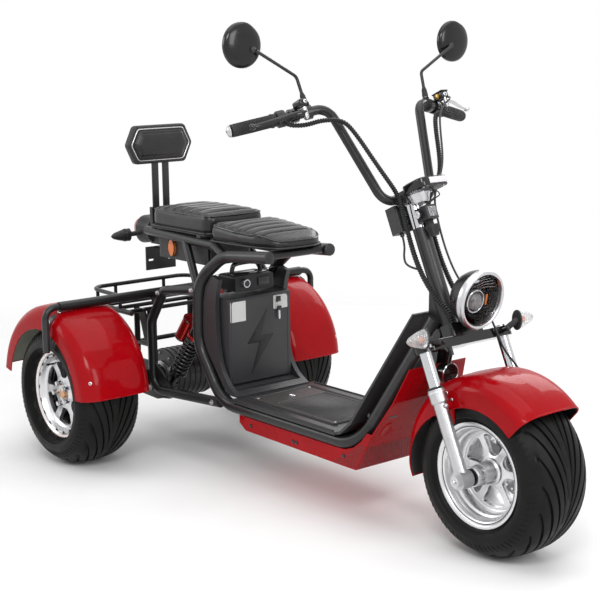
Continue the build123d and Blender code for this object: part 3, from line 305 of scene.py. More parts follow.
piping_black = surface("piping_vinyl", (0.01, 0.01, 0.0105), 0.3, 900, 0.08, 0.1, coat=0.4)
thread_grey = surface("stitch_thread", (0.035, 0.035, 0.037), 0.7, 2500, 0.3)
display_band = surface("display_band", (0.8, 0.78, 0.81), 0.36, 220, 0.01, 0.05, metal=0.3)
satin_silver = surface("satin_silver_trim", (0.58, 0.58, 0.6), 0.32, 300, 0.02, 0.04, metal=1.0)

NODE_MATERIALS = {
    frame_black: "main_frame footboard backrest_posts plate_bracket cargo_rack rear_axle "
    "guard_bar handlebar bar_clamp mirror_stems",
    deck_black: "deck_mat",
    plastic_black: "leg_shield battery_lock seat_tray seat_pan tail_lamp rear_indicators "
    "switch_pods dash_display column_fittings control_cables",
    paint_red: "lower_fairing rear_right_fender rear_left_fender front_fender",
    battery_black: "battery_box battery_shroud",
    seat_leather: "rear_seat front_seat backrest_pad",
    red_lens: "tail_lens",
    amber_lens: "side_reflectors",
    gloss_black: "shock_dampers shock_springs fork_crown headlamp_bucket horn mirrors",
    red_anodised: "shock_reservoirs",
    chrome: "steering_stem fork_stanchions",
    cast_aluminium: "fork_legs brake_controls rear_calipers front_caliper",
    polished_rim: "front_axle front_rim rear_right_rim rear_left_rim",
    satin_silver: "headlamp_rim",
    head_glass: "headlamp_lens",
    clear_lens: "front_indicators",
    grip_rubber: "grips",
    tyre_mat: "front_tyre rear_right_tyre rear_left_tyre",
    disc_steel: "front_disc rear_right_disc rear_left_disc",
}
for mat, names in NODE_MATERIALS.items():
    for name in names.split():
        nodes[name].data.materials.clear()
        nodes[name].data.materials.append(mat)


# ---------------------------------------------------------------- making shapes
def turns(count):
    """The angles of a full turn cut in equal steps."""
    return [2 * math.pi * k / count for k in range(count)]


def ray(turn):
    """The unit vector at an angle from forward towards up."""
    return Vector((math.cos(turn), 0, math.sin(turn)))


def oval(wide, high, sides):
    """Points (x, y) round an ellipse."""
    return [(wide * math.cos(a), high * math.sin(a)) for a in turns(sides)]


def hoop(centre, u, v, sides):
    """A closed ring of points round a centre; u and v are its two radii as vectors."""
    ring = [centre + u * math.cos(a) + v * math.sin(a) for a in turns(sides)]
    return ring + ring[:1]


def corners(x0, x1, y0, y1):
    return [(x0, y0), (x1, y0), (x1, y1), (x0, y1)]


def axes_of(direction, hint=(0, 0, 1)):
    """Three unit vectors, the last along the direction and the first near the hint."""
    z = Vector(direction).normalized()
    x = Vector(hint) - z * Vector(hint).dot(z)
    if x.length < 1e-4:
        x = X_AXIS - z * z.x
    x.normalize()
    return x, z.cross(x), z


def curve_through(points, order=3, steps=10):
    """Points along the smooth NURBS line that the route's points pull."""
    data = bpy.data.curves.new("route", "CURVE")
    data.dimensions = "3D"
    data.resolution_u = steps
    spline = data.splines.new("NURBS")
    spline.points.add(len(points) - 1)
    for spot, point in zip(spline.points, points):
        spot.co = (*point, 1)
    spline.order_u = order
    spline.use_endpoint_u = True
    holder = bpy.data.objects.new("route", data)
    line = bpy.data.meshes.new_from_object(holder)
    found = [v.co.copy() for v in line.vertices]
    bpy.data.objects.remove(holder)
    bpy.data.curves.remove(data)
    bpy.data.meshes.remove(line)
    return found


def add_object(name, data):
    item = bpy.data.objects.new(name, data)
    bpy.context.scene.collection.objects.link(item)
    return item


class Piece:
    """A mesh put together from simple forms, each with its own material."""

    def __init__(self, name, body, slot=None, replaces=()):
        self.name = name
        self.body = body
        self.slot = slot
        self.replaces = replaces
        self.verts = []
        self.faces = []
        self.face_mats = []
        self.mats = []

    def add(self, verts, faces, mat):
        if mat not in self.mats:
            self.mats.append(mat)
        base = len(self.verts)
        self.verts.extend(Vector(v) for v in verts)
        for face in faces:
            self.faces.append([base + i for i in face])
            self.face_mats.append(self.mats.index(mat))

    def add_bmesh(self, bm, mat):
        bm.verts.index_update()
        self.add(
            [v.co.copy() for v in bm.verts], [[v.index for v in f.verts] for f in bm.faces], mat
        )
        bm.free()

    def lathe(self, profile, origin, direction, mat, sides=64, closed=False):
        """Turns (radius, height) points about the direction."""
        x, y, z = axes_of(direction)
        origin = Vector(origin)
        verts = []
        for turn in turns(sides):
            out = x * math.cos(turn) + y * math.sin(turn)
            verts.extend(origin + out * r + z * h for r, h in profile)
        n = len(profile)
        faces = []
        for k in range(sides):
            a, b = k * n, (k + 1) % sides * n
            for i in range(n if closed else n - 1):
                j = (i + 1) % n
                faces.append([a + i, b + i, b + j, a + j])
        self.add(verts, faces, mat)

    def rod(self, start, end, radius, mat, sides=20, bevel=0.0008):
        """A round bar with softened ends."""
        start, end = Vector(start), Vector(end)
        length = (end - start).length
        soft = min(bevel, radius * 0.4, length * 0.3)
        profile = [(0, 0), (radius - soft, 0), (radius, soft), (radius, length - soft),
                   (radius - soft, length), (0, length)]
        self.lathe(profile, start, end - start, mat, sides)

    def tube(self, points, radius, mat, sides=12, ends=True):
        """A round tube along a line of points; radius is a number or one for each point."""
        points = [Vector(p) for p in points]
        count = len(points)
        radii = radius if isinstance(radius, (list, tuple)) else [radius] * count
        x = None
        rings = []
        for i, point in enumerate(points):
            ahead = points[min(i + 1, count - 1)] - points[max(i - 1, 0)]
            z = ahead.normalized()
            if x is None:
                x = axes_of(z)[0]
            x = (x - z * x.dot(z)).normalized()
            y = z.cross(x)
            rings.append([point + (x * math.cos(a) + y * math.sin(a)) * radii[i]
                for a in turns(sides)])
        verts = [v for ring in rings for v in ring]
        faces = []
        for i in range(count - 1):
            for k in range(sides):
                j = (k + 1) % sides
                faces.append([i * sides + k, i * sides + j, (i + 1) * sides + j,
                    (i + 1) * sides + k])
        if ends:
            faces.append(list(range(sides))[::-1])
            faces.append([(count - 1) * sides + k for k in range(sides)])
        self.add(verts, faces, mat)

    def block(self, centre, size, mat, axes=None, bevel=0.002, steps=2):
        """A box with rounded edges, its size along the given axes."""
        x, y, z = axes or (X_AXIS, Y_AXIS, Z_AXIS)
        bm = bmesh.new()
        bmesh.ops.create_cube(bm, size=1)
        for v in bm.verts:
            v.co = Vector((v.co.x * size[0], v.co.y * size[1], v.co.z * size[2]))
        if bevel:
            bmesh.ops.bevel(
                bm, geom=bm.edges[:], offset=min(bevel, min(size) * 0.45), segments=steps,
                profile=0.5, affect="EDGES",
            )
        for v in bm.verts:
            v.co = Vector(centre) + x * v.co.x + y * v.co.y + z * v.co.z
        self.add_bmesh(bm, mat)

    def slab(self, outline, low, high, origin, axes, mat, bevel=0.001, steps=2):
        """A flat plate of the given outline, from low to high along the third axis."""
        x, y, z = axes
        origin = Vector(origin)
        bm = bmesh.new()
        bottom = [bm.verts.new((px, py, low)) for px, py in outline]
        top = [bm.verts.new((px, py, high)) for px, py in outline]
        count = len(outline)
        bm.faces.new(bottom[::-1])
        bm.faces.new(top)
        for i in range(count):
            j = (i + 1) % count
            bm.faces.new([bottom[i], bottom[j], top[j], top[i]])
        bmesh.ops.recalc_face_normals(bm, faces=bm.faces[:])
        if bevel:
            rims = [e for e in bm.edges if abs(e.verts[0].co.z - e.verts[1].co.z) < 1e-7]
            bmesh.ops.bevel(bm, geom=rims, offset=bevel, segments=steps, profile=0.5,
                affect="EDGES")
        for v in bm.verts:
            v.co = origin + x * v.co.x + y * v.co.y + z * v.co.z
        self.add_bmesh(bm, mat)

    def ball(self, centre, radius, mat, sides=20, squash=1.0, direction=(0, 0, 1)):
        rows = sides // 2
        profile = [
            (radius * math.sin(math.pi * i / rows), -radius * squash * math.cos(math.pi * i / rows))
            for i in range(rows + 1)
        ]
        self.lathe(profile, centre, direction, mat, sides)

    def screw(self, place, direction, radius, height, mat=turned_steel):
        """A domed screw head with a hex socket."""
        rise = [(0, height), (radius * 0.5, height * 0.97), (radius * 0.85, height * 0.75),
                (radius, height * 0.35), (radius, 0)]
        self.lathe(rise, place, direction, mat, 18)
        top = Vector(place) + Vector(direction).normalized() * (height * 1.01)
        self.lathe([(0, 0), (radius * 0.45, 0)], top, direction, gloss_black, 6)

    def nut(self, place, direction, radius, height, mat=turned_steel):
        """A hexagon nut with a washer."""
        self.lathe([(0, 0.0012), (radius * 1.35, 0.0012), (radius * 1.35, 0)], place, direction,
            mat, 24)
        x, y, z = axes_of(direction)
        self.slab(oval(radius * 1.1, radius * 1.1, 6), 0.0012, height, place, (x, y, z), mat,
            0.0006)
        self.rod(
            Vector(place) + z * height, Vector(place) + z * (height + radius * 0.35),
            radius * 0.55, mat, 14,
        )

    def grid(self, rows, mat):
        """A sheet through rows of points of the same length."""
        n = len(rows[0])
        verts = [v for row in rows for v in row]
        starts = (i * n + k for i in range(len(rows) - 1) for k in range(n - 1))
        self.add(verts, [[a, a + n, a + n + 1, a + 1] for a in starts], mat)

    def mesh(self):
        data = bpy.data.meshes.new(self.name)
        data.from_pydata(self.verts, [], self.faces)
        for mat in self.mats:
            data.materials.append(mat)
        data.polygons.foreach_set("material_index", self.face_mats)
        data.validate()
        data.update()
        bm = bmesh.new()
        bm.from_mesh(data)
        bmesh.ops.remove_doubles(bm, verts=bm.verts[:], dist=1e-6)
        bmesh.ops.recalc_face_normals(bm, faces=bm.faces[:])
        bm.to_mesh(data)
        bm.free()
        return data

    def done(self, sharp=38):
        """Puts the piece in the scene, smooth but for edges sharper than the angle."""
        data = self.mesh()
        item = add_object(self.name, data)
        data.shade_smooth()
        data.set_sharp_from_angle(angle=math.radians(sharp))
        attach(item, self.body)
        if self.replaces:
            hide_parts(*self.replaces)
        return item


def soften_edges(names, width=0.0012, angle=35):
    """Rounds the sharp edges of CAD nodes with a small bevel."""
    for name in names:
        bevel = nodes[name].modifiers.new("soft_edges", "BEVEL")
        bevel.width = width
        bevel.segments = 2
        bevel.limit_method = "ANGLE"
        bevel.angle_limit = math.radians(angle)
        bevel.use_clamp_overlap = True


def baked(item):
    """Makes the object's modifiers part of its mesh."""
    graph = bpy.context.evaluated_depsgraph_get()
    item_mesh = bpy.data.meshes.new_from_object(item.evaluated_get(graph))
    item.modifiers.clear()
    item.data = item_mesh
    return item_mesh


def mm(*points):
    """Points given in millimetres."""
    return [tuple(value / 1000 for value in point) for point in points]


def raised(height, *points):
    """Profile points given in millimetres, their second number counted from a height."""
    return [(r, height + h) for r, h in mm(*points)]


def smooth_line(points, steps):
    """Catmull-Rom points through the given ones, for a profile."""
    found = []
    for i in range(len(points) - 1):
        before = points[max(i - 1, 0)]
        a, b = points[i], points[i + 1]
        after = points[min(i + 2, len(points) - 1)]
        for k in range(steps):
            t = k / steps
            found.append(
                tuple(
                    0.5 * (2 * q + (r - p) * t + (2 * p - 5 * q + 4 * r - s) * t * t
                           + (3 * q - p - 3 * r + s) * t ** 3)
                    for p, q, r, s in zip(before, a, b, after)
                )
            )
    found.append(tuple(points[-1]))
    return found


def blend_in(value, low, high):
    """0 below low, 1 above high and a smooth ramp between."""
    t = min(1.0, max(0.0, (value - low) / (high - low)))
    return t * t * (3 - 2 * t)


# ---------------------------------------------------------------- tyres
TYRE_R = AXLE_Z
FLANGE_R = 0.141
BEAD_R = 0.127
GROOVES = 18
GROOVE_DEPTH = 0.0066
SEAT_INSET = 0.0053


def tyre_profile(rim_half):
    """Half of the tyre's outer line, from the crown to the bead, as (width, radius)."""
    seat = rim_half - SEAT_INSET
    tread = raised(
        TYRE_R, (0, 0), (22, -0.3), (48, -3), (72, -10.5), (92, -24), (106, -42.5), (112, -59),
        (112.5, -66), (109.5, -74),
    )
    foot = [(seat + w, FLANGE_R + r) for w, r in mm((6, 8), (1, 1.5), (0, -4))]
    return smooth_line(tread + foot + [(seat, BEAD_R + 0.0003)], 5)


def sidewall_ridge(radius):
    """Raised moulding rings on the sidewall."""
    height = 0.0
    for ring, half_width, rise in mm((155.5, 1.6, 0.9), (169, 1, 0.6), (193.5, 2.2, 1)):
        height += rise * (1 - blend_in(abs(radius - ring), half_width * 0.6, half_width * 1.4))
    return height


def make_tyre(name, centre, rim_half, body):
    """A fat road tyre with long curved grooves that sweep out from its crown."""
    half = tyre_profile(rim_half)
    starts = (0.0, 0.05, 0.26, 0.31, 0.5, 0.55, 0.76, 0.81)
    columns = GROOVES * len(starts)
    step = 2 * math.pi / GROOVES
    near, far, arc = 0.006, 0.088, math.radians(74)

    def skew(width):
        reach = min(1.0, max(0.0, (abs(width) - near) / (far - near)))
        return arc * reach ** (1 / 1.6)

    def depth(width, column):
        first = 1 if width >= 0 else 5
        if column % len(starts) not in (first, first + 1):
            return 0.0
        fade = blend_in(abs(width), near - 0.004, near + 0.012)
        return GROOVE_DEPTH * fade * (1 - blend_in(abs(width), far - 0.01, far))

    line = [(-w, r) for w, r in reversed(half[1:])] + half
    fine = []
    for (w0, r0), (w1, r1) in zip(line, line[1:]):
        pieces = max(1, int(math.hypot(w1 - w0, r1 - r0) / 0.0028))
        fine.extend((w0 + (w1 - w0) * k / pieces, r0 + (r1 - r0) * k / pieces)
            for k in range(pieces))
    fine.append(line[-1])
    rows = []
    for w, r in fine:
        row = []
        for c in range(columns):
            turn = (c // len(starts) + starts[c % len(starts)]) * step + skew(w)
            reach = r - depth(w, c)
            bulge = sidewall_ridge(r) if abs(w) > 0.095 else 0.0
            across = w + math.copysign(bulge, w)
            row.append(centre + ray(turn) * reach + Y_AXIS * across)
        row.append(row[0])
        rows.append(row)
    tyre = Piece(name + "_tread", body, "tyre_rubber", (name,))
    tyre.grid(rows, tyre_mat)
    seat = rim_half - SEAT_INSET
    inside = [(BEAD_R + 0.0003, seat), (BEAD_R + 0.0003, -seat)]
    tyre.lathe(inside, centre, Y_AXIS, tyre_mat, 72)
    # sipes across the shoulders
    for side in (-1, 1):
        for k in range(GROOVES * 4):
            out = ray((k + 0.3) * step / 4)
            low = centre + Y_AXIS * (side * 0.1085) + out * (TYRE_R - 0.0465)
            high = centre + Y_AXIS * (side * 0.0965) + out * (TYRE_R - 0.0285)
            high += Y_AXIS.cross(out) * -0.006
            middle = (low + high) / 2 + out * 0.0006 + Y_AXIS * (side * 0.001)
            tyre.tube([low, middle, high], 0.0011, tyre_mat, 5)
    tyre.done(50)


# ---------------------------------------------------------------- rims
WINDOWS = 6
WINDOW_CORNER = 0.012


def window_outline(low, high, spoke):
    """A spoked rim's window, a rounded wedge between two radii."""
    half = math.pi / WINDOWS
    low_turn = half - math.asin(spoke / 2 / low)
    high_turn = half - math.asin(spoke / 2 / high)
    spots = ((low, -low_turn), (high, -high_turn), (high * 1.012, 0), (high, high_turn),
        (low, low_turn))
    points = [(ray(turn) * reach).xz for reach, turn in spots]
    found = []
    for i, point in enumerate(points):
        ways = (points[i - 1] - point, points[(i + 1) % len(points)] - point)
        reach = min(WINDOW_CORNER, *(way.length * 0.45 for way in ways))
        a, b = (point + way.normalized() * reach for way in ways)
        for k in range(6):
            t = k / 5
            found.append(tuple(a * (1 - t) ** 2 + point * 2 * t * (1 - t) + b * t * t))
    return found


def spoke_star(name, body, origin, outward, face, low, high, spoke):
    """The spoked disc of a rim: a dished plate with windows cut through it, its edges rounded."""
    plate = Piece(name, body, "rim_metal")
    back = [(h_r, h_y - 0.014) for h_r, h_y in reversed(face)]
    plate.lathe(face + back, origin, outward, polished_rim, 120, closed=True)
    disc = plate.done(30)
    cutter = Piece(name + "_cut", body)
    x, y, z = axes_of(outward)
    window = window_outline(low, high, spoke)
    for turn in turns(WINDOWS):
        u = x * math.cos(turn) + y * math.sin(turn)
        cutter.slab(window, -0.08, 0.06, origin, (u, z.cross(u), z), polished_rim, 0)
    tool = add_object(name + "_cut", cutter.mesh())
    cut = disc.modifiers.new("windows", "BOOLEAN")
    cut.operation = "DIFFERENCE"
    cut.object = tool
    cut.solver = "EXACT"
    bevel = disc.modifiers.new("edges", "BEVEL")
    bevel.width = 0.0022
    bevel.segments = 3
    bevel.limit_method = "ANGLE"
    bevel.angle_limit = math.radians(50)
    star = baked(disc)
    star.shade_smooth()
    star.set_sharp_from_angle(angle=math.radians(40))
    bpy.data.objects.remove(tool)


def rim_barrel(piece, origin, outward, lip, floor_at, inner_lip, lip_mat):
    """The barrel, seen from its outer side as a stepped dish, and closed at its inner side."""
    outer_face = raised(
        lip, (140.5, -5.3), (141.2, -2), (140.5, 0.2), (138.5, 0.6), (135, 0.2), (132.2, -1),
        (130.5, -3),
    )
    if floor_at > lip - 0.04:
        dish = raised(lip, (130.5, -3), (128, -6), (123.5, -7.5), (122.2, -9.5))
        dish += raised(floor_at, (119.5, 10), (115, 4), (108.5, 1), (103, -1))
    else:
        dish = raised(
            lip, (130.5, -3), (128.5, -6.2), (124, -7.5), (122.6, -9), (121.2, -20),
            (119.6, -22.5), (118.6, -24), (117.2, -33), (115, -35), (112, -36.2), (110.8, -38),
        )
        dish += raised(floor_at, (110, 6), (109.2, 2), (107, 0), (102, -1))
    back = raised(floor_at, (102, -12), (108.5, -16)) + raised(
        inner_lip, (108.5, 34), (119, 24), (122.5, 2), (130, 0), (138.5, -0.4), (140.5, 1.5),
        (140.5, 5.3),
    )
    piece.lathe(outer_face, origin, outward, lip_mat, 128)
    piece.lathe(dish, origin, outward, polished_rim, 128)
    piece.lathe(back, origin, outward, polished_rim, 96)


def front_wheel():
    centre = Vector((FRONT_X, 0, AXLE_Z))
    outward = -Y_AXIS
    make_tyre("front_tyre", centre, 0.098, "front_wheel")
    rim = Piece("front_rim_barrel", "front_wheel", "rim_metal", ("front_rim",))
    rim_barrel(rim, centre, outward, 0.098, 0.032, -0.098, polished_rim)
    hub = mm((30, 18), (35, 34), (36.2, 40), (35, 45), (30.5, 48), (28.8, 52), (28, 82),
        (26.8, 84.5), (24, 84.8))
    rim.lathe(hub, centre, outward, polished_rim, 56)
    rim.lathe(
        mm((30, 20), (31, -20), (34, -24), (34, -60), (41.5, -61.5), (41.5, -62.2), (9, -62.2)),
        centre, outward, cast_aluminium, 56,
    )
    rim.lathe(mm((34, 33.5), (40, 33), (42, 31.5), (42.5, 29)), centre, outward, polished_rim, 72)
    for k in range(5):
        spot = centre + ray(math.radians(72 * k + 12)) * 0.03 + Y_AXIS * 0.0668
        rim.screw(spot, (0, 1, 0), 0.0055, 0.004)
    valve = centre + ray(0.52) * 0.094 - Y_AXIS * 0.033
    rim.rod(valve, valve + Vector((0.002, -0.026, 0.001)), 0.0032, plastic_black, 12)
    rim.rod(valve + Vector((0.002, -0.026, 0.001)), valve + Vector((0.003, -0.036, 0.0015)), 0.0042,
        gloss_black, 12)
    rim.done()
    sleeve = Piece("front_hub_sleeve", "front_wheel", "cast_aluminium")
    sleeve.lathe(mm((24, 84.6), (26.2, 84.6), (26.8, 85.6), (26.8, 114), (25.6, 115.6),
        (22.5, 115.8)), centre, outward, polished_rim, 56)
    sleeve.lathe(mm((23.5, 115.7), (23, 119), (20, 120.5), (9.5, 120.5)), centre, outward,
        gloss_black, 48)
    sleeve.done()
    face = mm((107.5, 31.5), (100, 33), (85, 30), (65, 30), (48, 33), (33, 40), (29.5, 40.5))
    spoke_star("front_rim_spokes", "front_wheel", centre, outward, face, 0.044, 0.0985, 0.02)


def rear_wheel(side, label):
    centre = along(0, side * TRACK_HALF, AXLE_Z)
    outward = Y_AXIS * side
    label = "rear_" + label
    body = label + "_wheel"
    make_tyre(label + "_tyre", centre, 0.08, body)
    rim = Piece(label + "_rim_barrel", body, "rim_metal", (label + "_rim",))
    rim_barrel(rim, centre, outward, 0.08, 0.05, -0.072, satin_lip)
    hub = mm((48, 40), (47.5, 52.5), (45, 55), (30, 56), (28, 54), (18, 53))
    rim.lathe(hub, centre, outward, polished_rim, 64)
    rim.lathe(mm((18, 53), (17.5, 61), (15, 64), (6, 65), (0, 65)), centre, outward, copper_cap, 40)
    rim.lathe(mm((108.2, 30), (95, 27), (45, 27)), centre, outward, gloss_black, 72)
    rim.lathe(mm((46, 22), (46, -108), (44, -110), (13, -110)), centre, outward, frame_black, 56)
    x, y, z = axes_of(outward)
    for k in range(5):
        turn = math.radians(72 * k + 20)
        spot = centre + (x * math.cos(turn) + y * math.sin(turn)) * 0.0345 + z * 0.0545
        rim.lathe(
            mm((10.5, 0), (10, 1.5), (8.2, 2), (8, 19), (7, 21.5), (0, 22.5)),
            spot, outward, chrome, 24,
        )
    valve = centre + (x * math.cos(0.55) + y * math.sin(0.55)) * 0.1035 + z * 0.05
    rim.rod(valve, valve + z * 0.024, 0.0032, plastic_black, 12)
    rim.rod(valve + z * 0.024, valve + z * 0.033, 0.0042, gloss_black, 12)
    rim.done()
    face = mm((108.5, 54.5), (101.5, 56), (88, 54), (72, 51.5), (56, 53), (48, 54.5), (45, 54.5))
    spoke_star(label + "_rim_spokes", body, centre, outward, face, 0.052, 0.104, 0.025)


front_wheel()
rear_wheel(-1, "right")
rear_wheel(1, "left")


# ---------------------------------------------------------------- padded seats
def rounded_outline(corners, radius, steps=6):
    """A polygon with its corners rounded; radius is a number or one for each corner."""
    found = []
    count = len(corners)
    for i, corner in enumerate(corners):
        r = radius[i] if isinstance(radius, (list, tuple)) else radius
        here = Vector(corner)
        before = Vector(corners[i - 1]) - here
        after = Vector(corners[(i + 1) % count]) - here
        if r <= 0:
            found.append(tuple(here))
            continue
        half = before.angle(after) / 2
        reach = min(r / math.tan(half), before.length * 0.49, after.length * 0.49)
        a, b = here + before.normalized() * reach, here + after.normalized() * reach
        pull = here + ((a + b) / 2 - here) * (1 - math.sin(half)) * 0.6
        for k in range(steps + 1):
            t = k / steps
            found.append(tuple(a * (1 - t) ** 2 + pull * 2 * t * (1 - t) + b * t * t))
    return found


def shrunk(outline, amount):
    """The outline moved inwards by the amount."""
    count = len(outline)
    area = sum(
        outline[i][0] * outline[(i + 1) % count][1] - outline[(i + 1) % count][0] * outline[i][1]
        for i in range(count)
    )
    turn = 1 if area > 0 else -1
    found = []
    for i, point in enumerate(outline):
        way = Vector(outline[(i + 1) % count]) - Vector(outline[i - 1])
        inward = Vector((-way.y, way.x)).normalized() * turn
        found.append(tuple(Vector(point) + inward * amount))
    return found


VOXEL = 0.0058
CLOTH_FRAMES = 20
CLOTH = {
    "vertex_group_mass": "held", "quality": 5, "tension_stiffness": 40,
    "compression_stiffness": 40, "shear_stiffness": 20, "bending_stiffness": 12,
    "use_pressure": True, "uniform_pressure_force": 4,
}
SMOOTHINGS = 24


def cushion(name, node, outline, low, high, axes, start_in=0.006, cap=0.01, soft=0.016,
        ribs=None, shape=None):
    """A stuffed pad: a slightly smaller block swollen by cloth pressure, then sewn into ribs."""
    origin = Y_AXIS * 0
    u, v, w = axes
    block = Piece(name, "frame", "seat_cover", (node,) if node else ())
    block.slab(shrunk(outline, start_in), low, high - start_in * 1.2, origin, axes, seat_leather,
        soft, 4)
    pad = block.done()
    remesh = pad.modifiers.new("even", "REMESH")
    remesh.mode = "VOXEL"
    remesh.voxel_size = VOXEL
    even = baked(pad)
    even.materials.clear()
    even.materials.append(seat_leather)
    if shape:
        for vert in even.vertices:
            vert.co = shape(vert.co)
    held = pad.vertex_groups.new(name="held")
    for vert in even.vertices:
        if vert.co.dot(w) < low + 0.004:
            held.add([vert.index], 1.0, "REPLACE")
    before = [vert.co.copy() for vert in even.vertices]
    cloth = pad.modifiers.new("stuffing", "CLOTH")
    for key, value in CLOTH.items():
        setattr(cloth.settings, key, value)
    cloth.settings.effector_weights.gravity = 0
    cloth.point_cache.frame_start = 1
    cloth.point_cache.frame_end = CLOTH_FRAMES
    for step in range(1, CLOTH_FRAMES + 1):
        bpy.context.scene.frame_set(step)
    swollen = pad.evaluated_get(bpy.context.evaluated_depsgraph_get()).to_mesh()
    after = [vert.co.copy() for vert in swollen.vertices]
    pad.modifiers.clear()
    pad.vertex_groups.clear()
    bpy.context.scene.frame_set(1)
    moves = [new - old for old, new in zip(before, after)]
    beside = [[] for _ in moves]
    for a, b in (edge.vertices for edge in even.edges):
        beside[a].append(b)
        beside[b].append(a)
    for _ in range(SMOOTHINGS):
        moves = [
            (move + sum((moves[k] for k in near), Vector())) / (len(near) + 1)
            for move, near in zip(moves, beside)
        ]
    for vert, old, move in zip(even.vertices, before, moves):
        if move.length > cap:
            move *= cap / move.length
        vert.co = old + move
    smooth = pad.modifiers.new("smooth", "SMOOTH")
    smooth.iterations = 3
    smooth.factor = 0.5
    finer = pad.modifiers.new("finer", "SUBSURF")
    finer.levels = 1
    finer.render_levels = 1
    done = baked(pad)
    if ribs:
        normals = [vert.normal.copy() for vert in done.vertices]
        for vert, normal in zip(done.vertices, normals):
            vert.co += normal * ribs(vert.co.dot(u), vert.co.dot(v), vert.co.dot(w), normal.dot(w))
    top = max(vert.co.dot(w) for vert in done.vertices)
    for vert in done.vertices:
        over = vert.co.dot(w) - high - 0.003
        if over > 0:
            vert.co -= w * over * 0.9
        under = low - vert.co.dot(w)
        if under > 0:
            vert.co += w * under
    done.shade_smooth()
    done.update()
    return pad


def piping(piece, pad, path, centre, radius, mat, sink=0.0006):
    """A sewn cord laid on the pad along a closed path of points, pulled in to its surface."""
    bm = bmesh.new()
    bm.from_mesh(pad.data)
    tree = BVHTree.FromBMesh(bm)
    bm.free()
    laid = []
    for point in path:
        point = Vector(point)
        place, normal, _, _ = tree.find_nearest(point)
        laid.append(place + normal * (radius - sink) if place else point)
    laid.append(laid[0])
    for _ in range(3):
        laid = [
            (laid[i - 1 if i else -2] + laid[i] * 2 + laid[(i + 1) if i < len(laid) - 1 else 1]) / 4
            for i in range(len(laid))
        ]
    laid[-1] = laid[0].copy()
    piece.tube(laid, radius, mat, 8, ends=False)
    # a row of stitches inside the cord
    for i in range(0, len(laid) - 1, 2):
        mid = (laid[i] + laid[i + 1]) / 2
        inward = Vector(centre) - mid
        way = (laid[i + 1] - laid[i]).normalized()
        inward = (inward - way * inward.dot(way)).normalized()
        place, normal, _, _ = tree.find_nearest(mid + inward * radius * 2.4)
        if place:
            a, b = place - way * 0.0016 + normal * 0.0003, place + way * 0.0016 + normal * 0.0003
            piece.tube([a, b], 0.0005, thread_grey, 5)


def seat_trim(name, pad, edge, height, centre, foot):
    """Piping at a height for each x along the edge, and a bead round the pad's foot."""
    trim = Piece(name, "frame", "seat_cover")
    dense = smooth_line(edge + edge[:1], 3)[:-1]
    piping(trim, pad, [(x, y, height(x)) for x, y in dense], centre, 0.0023, piping_black)
    bead = [(x, y, foot) for x, y in smooth_line(edge + edge[:1], 2)]
    trim.tube(bead, 0.0026, plastic_black, 8, ends=False)
    trim.done()


def rib_field(first, pitch, count, half, depth=0.0062, puff=0.0026):
    """Sewn channels across the top of a seat, the leather puffed between them."""

    def move(x, y, z, up):
        if up < 0.35:
            return 0.0
        last = first + pitch * (count - 1)
        inside = blend_in(half - abs(y), 0.0, 0.014) * blend_in(up, 0.35, 0.8)
        reach = blend_in(x, first - pitch * 0.8, first - pitch * 0.3) * (
            1 - blend_in(x, last + pitch * 0.3, last + pitch * 0.8)
        )
        place = (x - first) / pitch
        near = abs(place - round(place)) * pitch
        real = 0 <= round(place) <= count - 1
        groove = -depth * math.exp(-((near / 0.0048) ** 2)) if real else 0.0
        swell = puff * math.sin(math.pi * min(1.0, near / (pitch * 0.5)) / 2) ** 2
        return (groove + swell * reach) * inside

    return move


def rear_cushion():
    sides = corners(REAR_X + 0.005, REAR_X + 0.335, -0.12, 0.12)
    outline = rounded_outline(sides, 0.036)
    pad = cushion(
        "rear_cushion", "rear_seat", outline, 0.7388, 0.8075, (X_AXIS, Y_AXIS, Z_AXIS),
        ribs=rib_field(REAR_X + 0.05, 0.048, 6, 0.112),
    )
    edge = shrunk(rounded_outline(sides, 0.036, 14), 0.002)
    seat_trim("rear_cushion_piping", pad, edge, lambda x: 0.799, (REAR_X + 0.17, 0, 0.8), 0.7425)


def front_cushion():
    outline = [
        (REAR_X + x, y)
        for x, y in rounded_outline(
            [
                (0.344, -0.131), (0.47, -0.131), (0.56, -0.119), (0.655, -0.088), (0.658, 0.088),
                (0.56, 0.119), (0.47, 0.131), (0.344, 0.131),
            ],
            [0.03, 0.1, 0.12, 0.075, 0.075, 0.12, 0.1, 0.03], 8,
        )
    ]

    def falling(co):
        fall = (co.x - REAR_X - 0.344) / 0.314
        low = 0.7236 - 0.008 * blend_in(co.x, REAR_X + 0.58,
            REAR_X + 0.64) * (1 - blend_in(abs(co.y), 0.08, 0.1))
        return Vector((co.x, co.y, low + (co.z - 0.7236) * (0.97 - 0.33 * fall)))

    pad = cushion(
        "front_cushion", "front_seat", outline, 0.7236, 0.792, (X_AXIS, Y_AXIS, Z_AXIS),
        soft=0.026, ribs=rib_field(REAR_X + 0.385, 0.04, 6, 0.116), shape=falling,
    )

    def piping_height(x):
        fall = 0.97 - 0.33 * (x - REAR_X - 0.344) / 0.314
        dip = blend_in(x, REAR_X + 0.57, REAR_X + 0.655) * 0.01
        return 0.7236 + 0.0585 * fall - dip

    centre = (REAR_X + 0.48, 0, 0.79)
    seat_trim("front_cushion_piping", pad, shrunk(outline, 0.003), piping_height, centre, 0.7275)


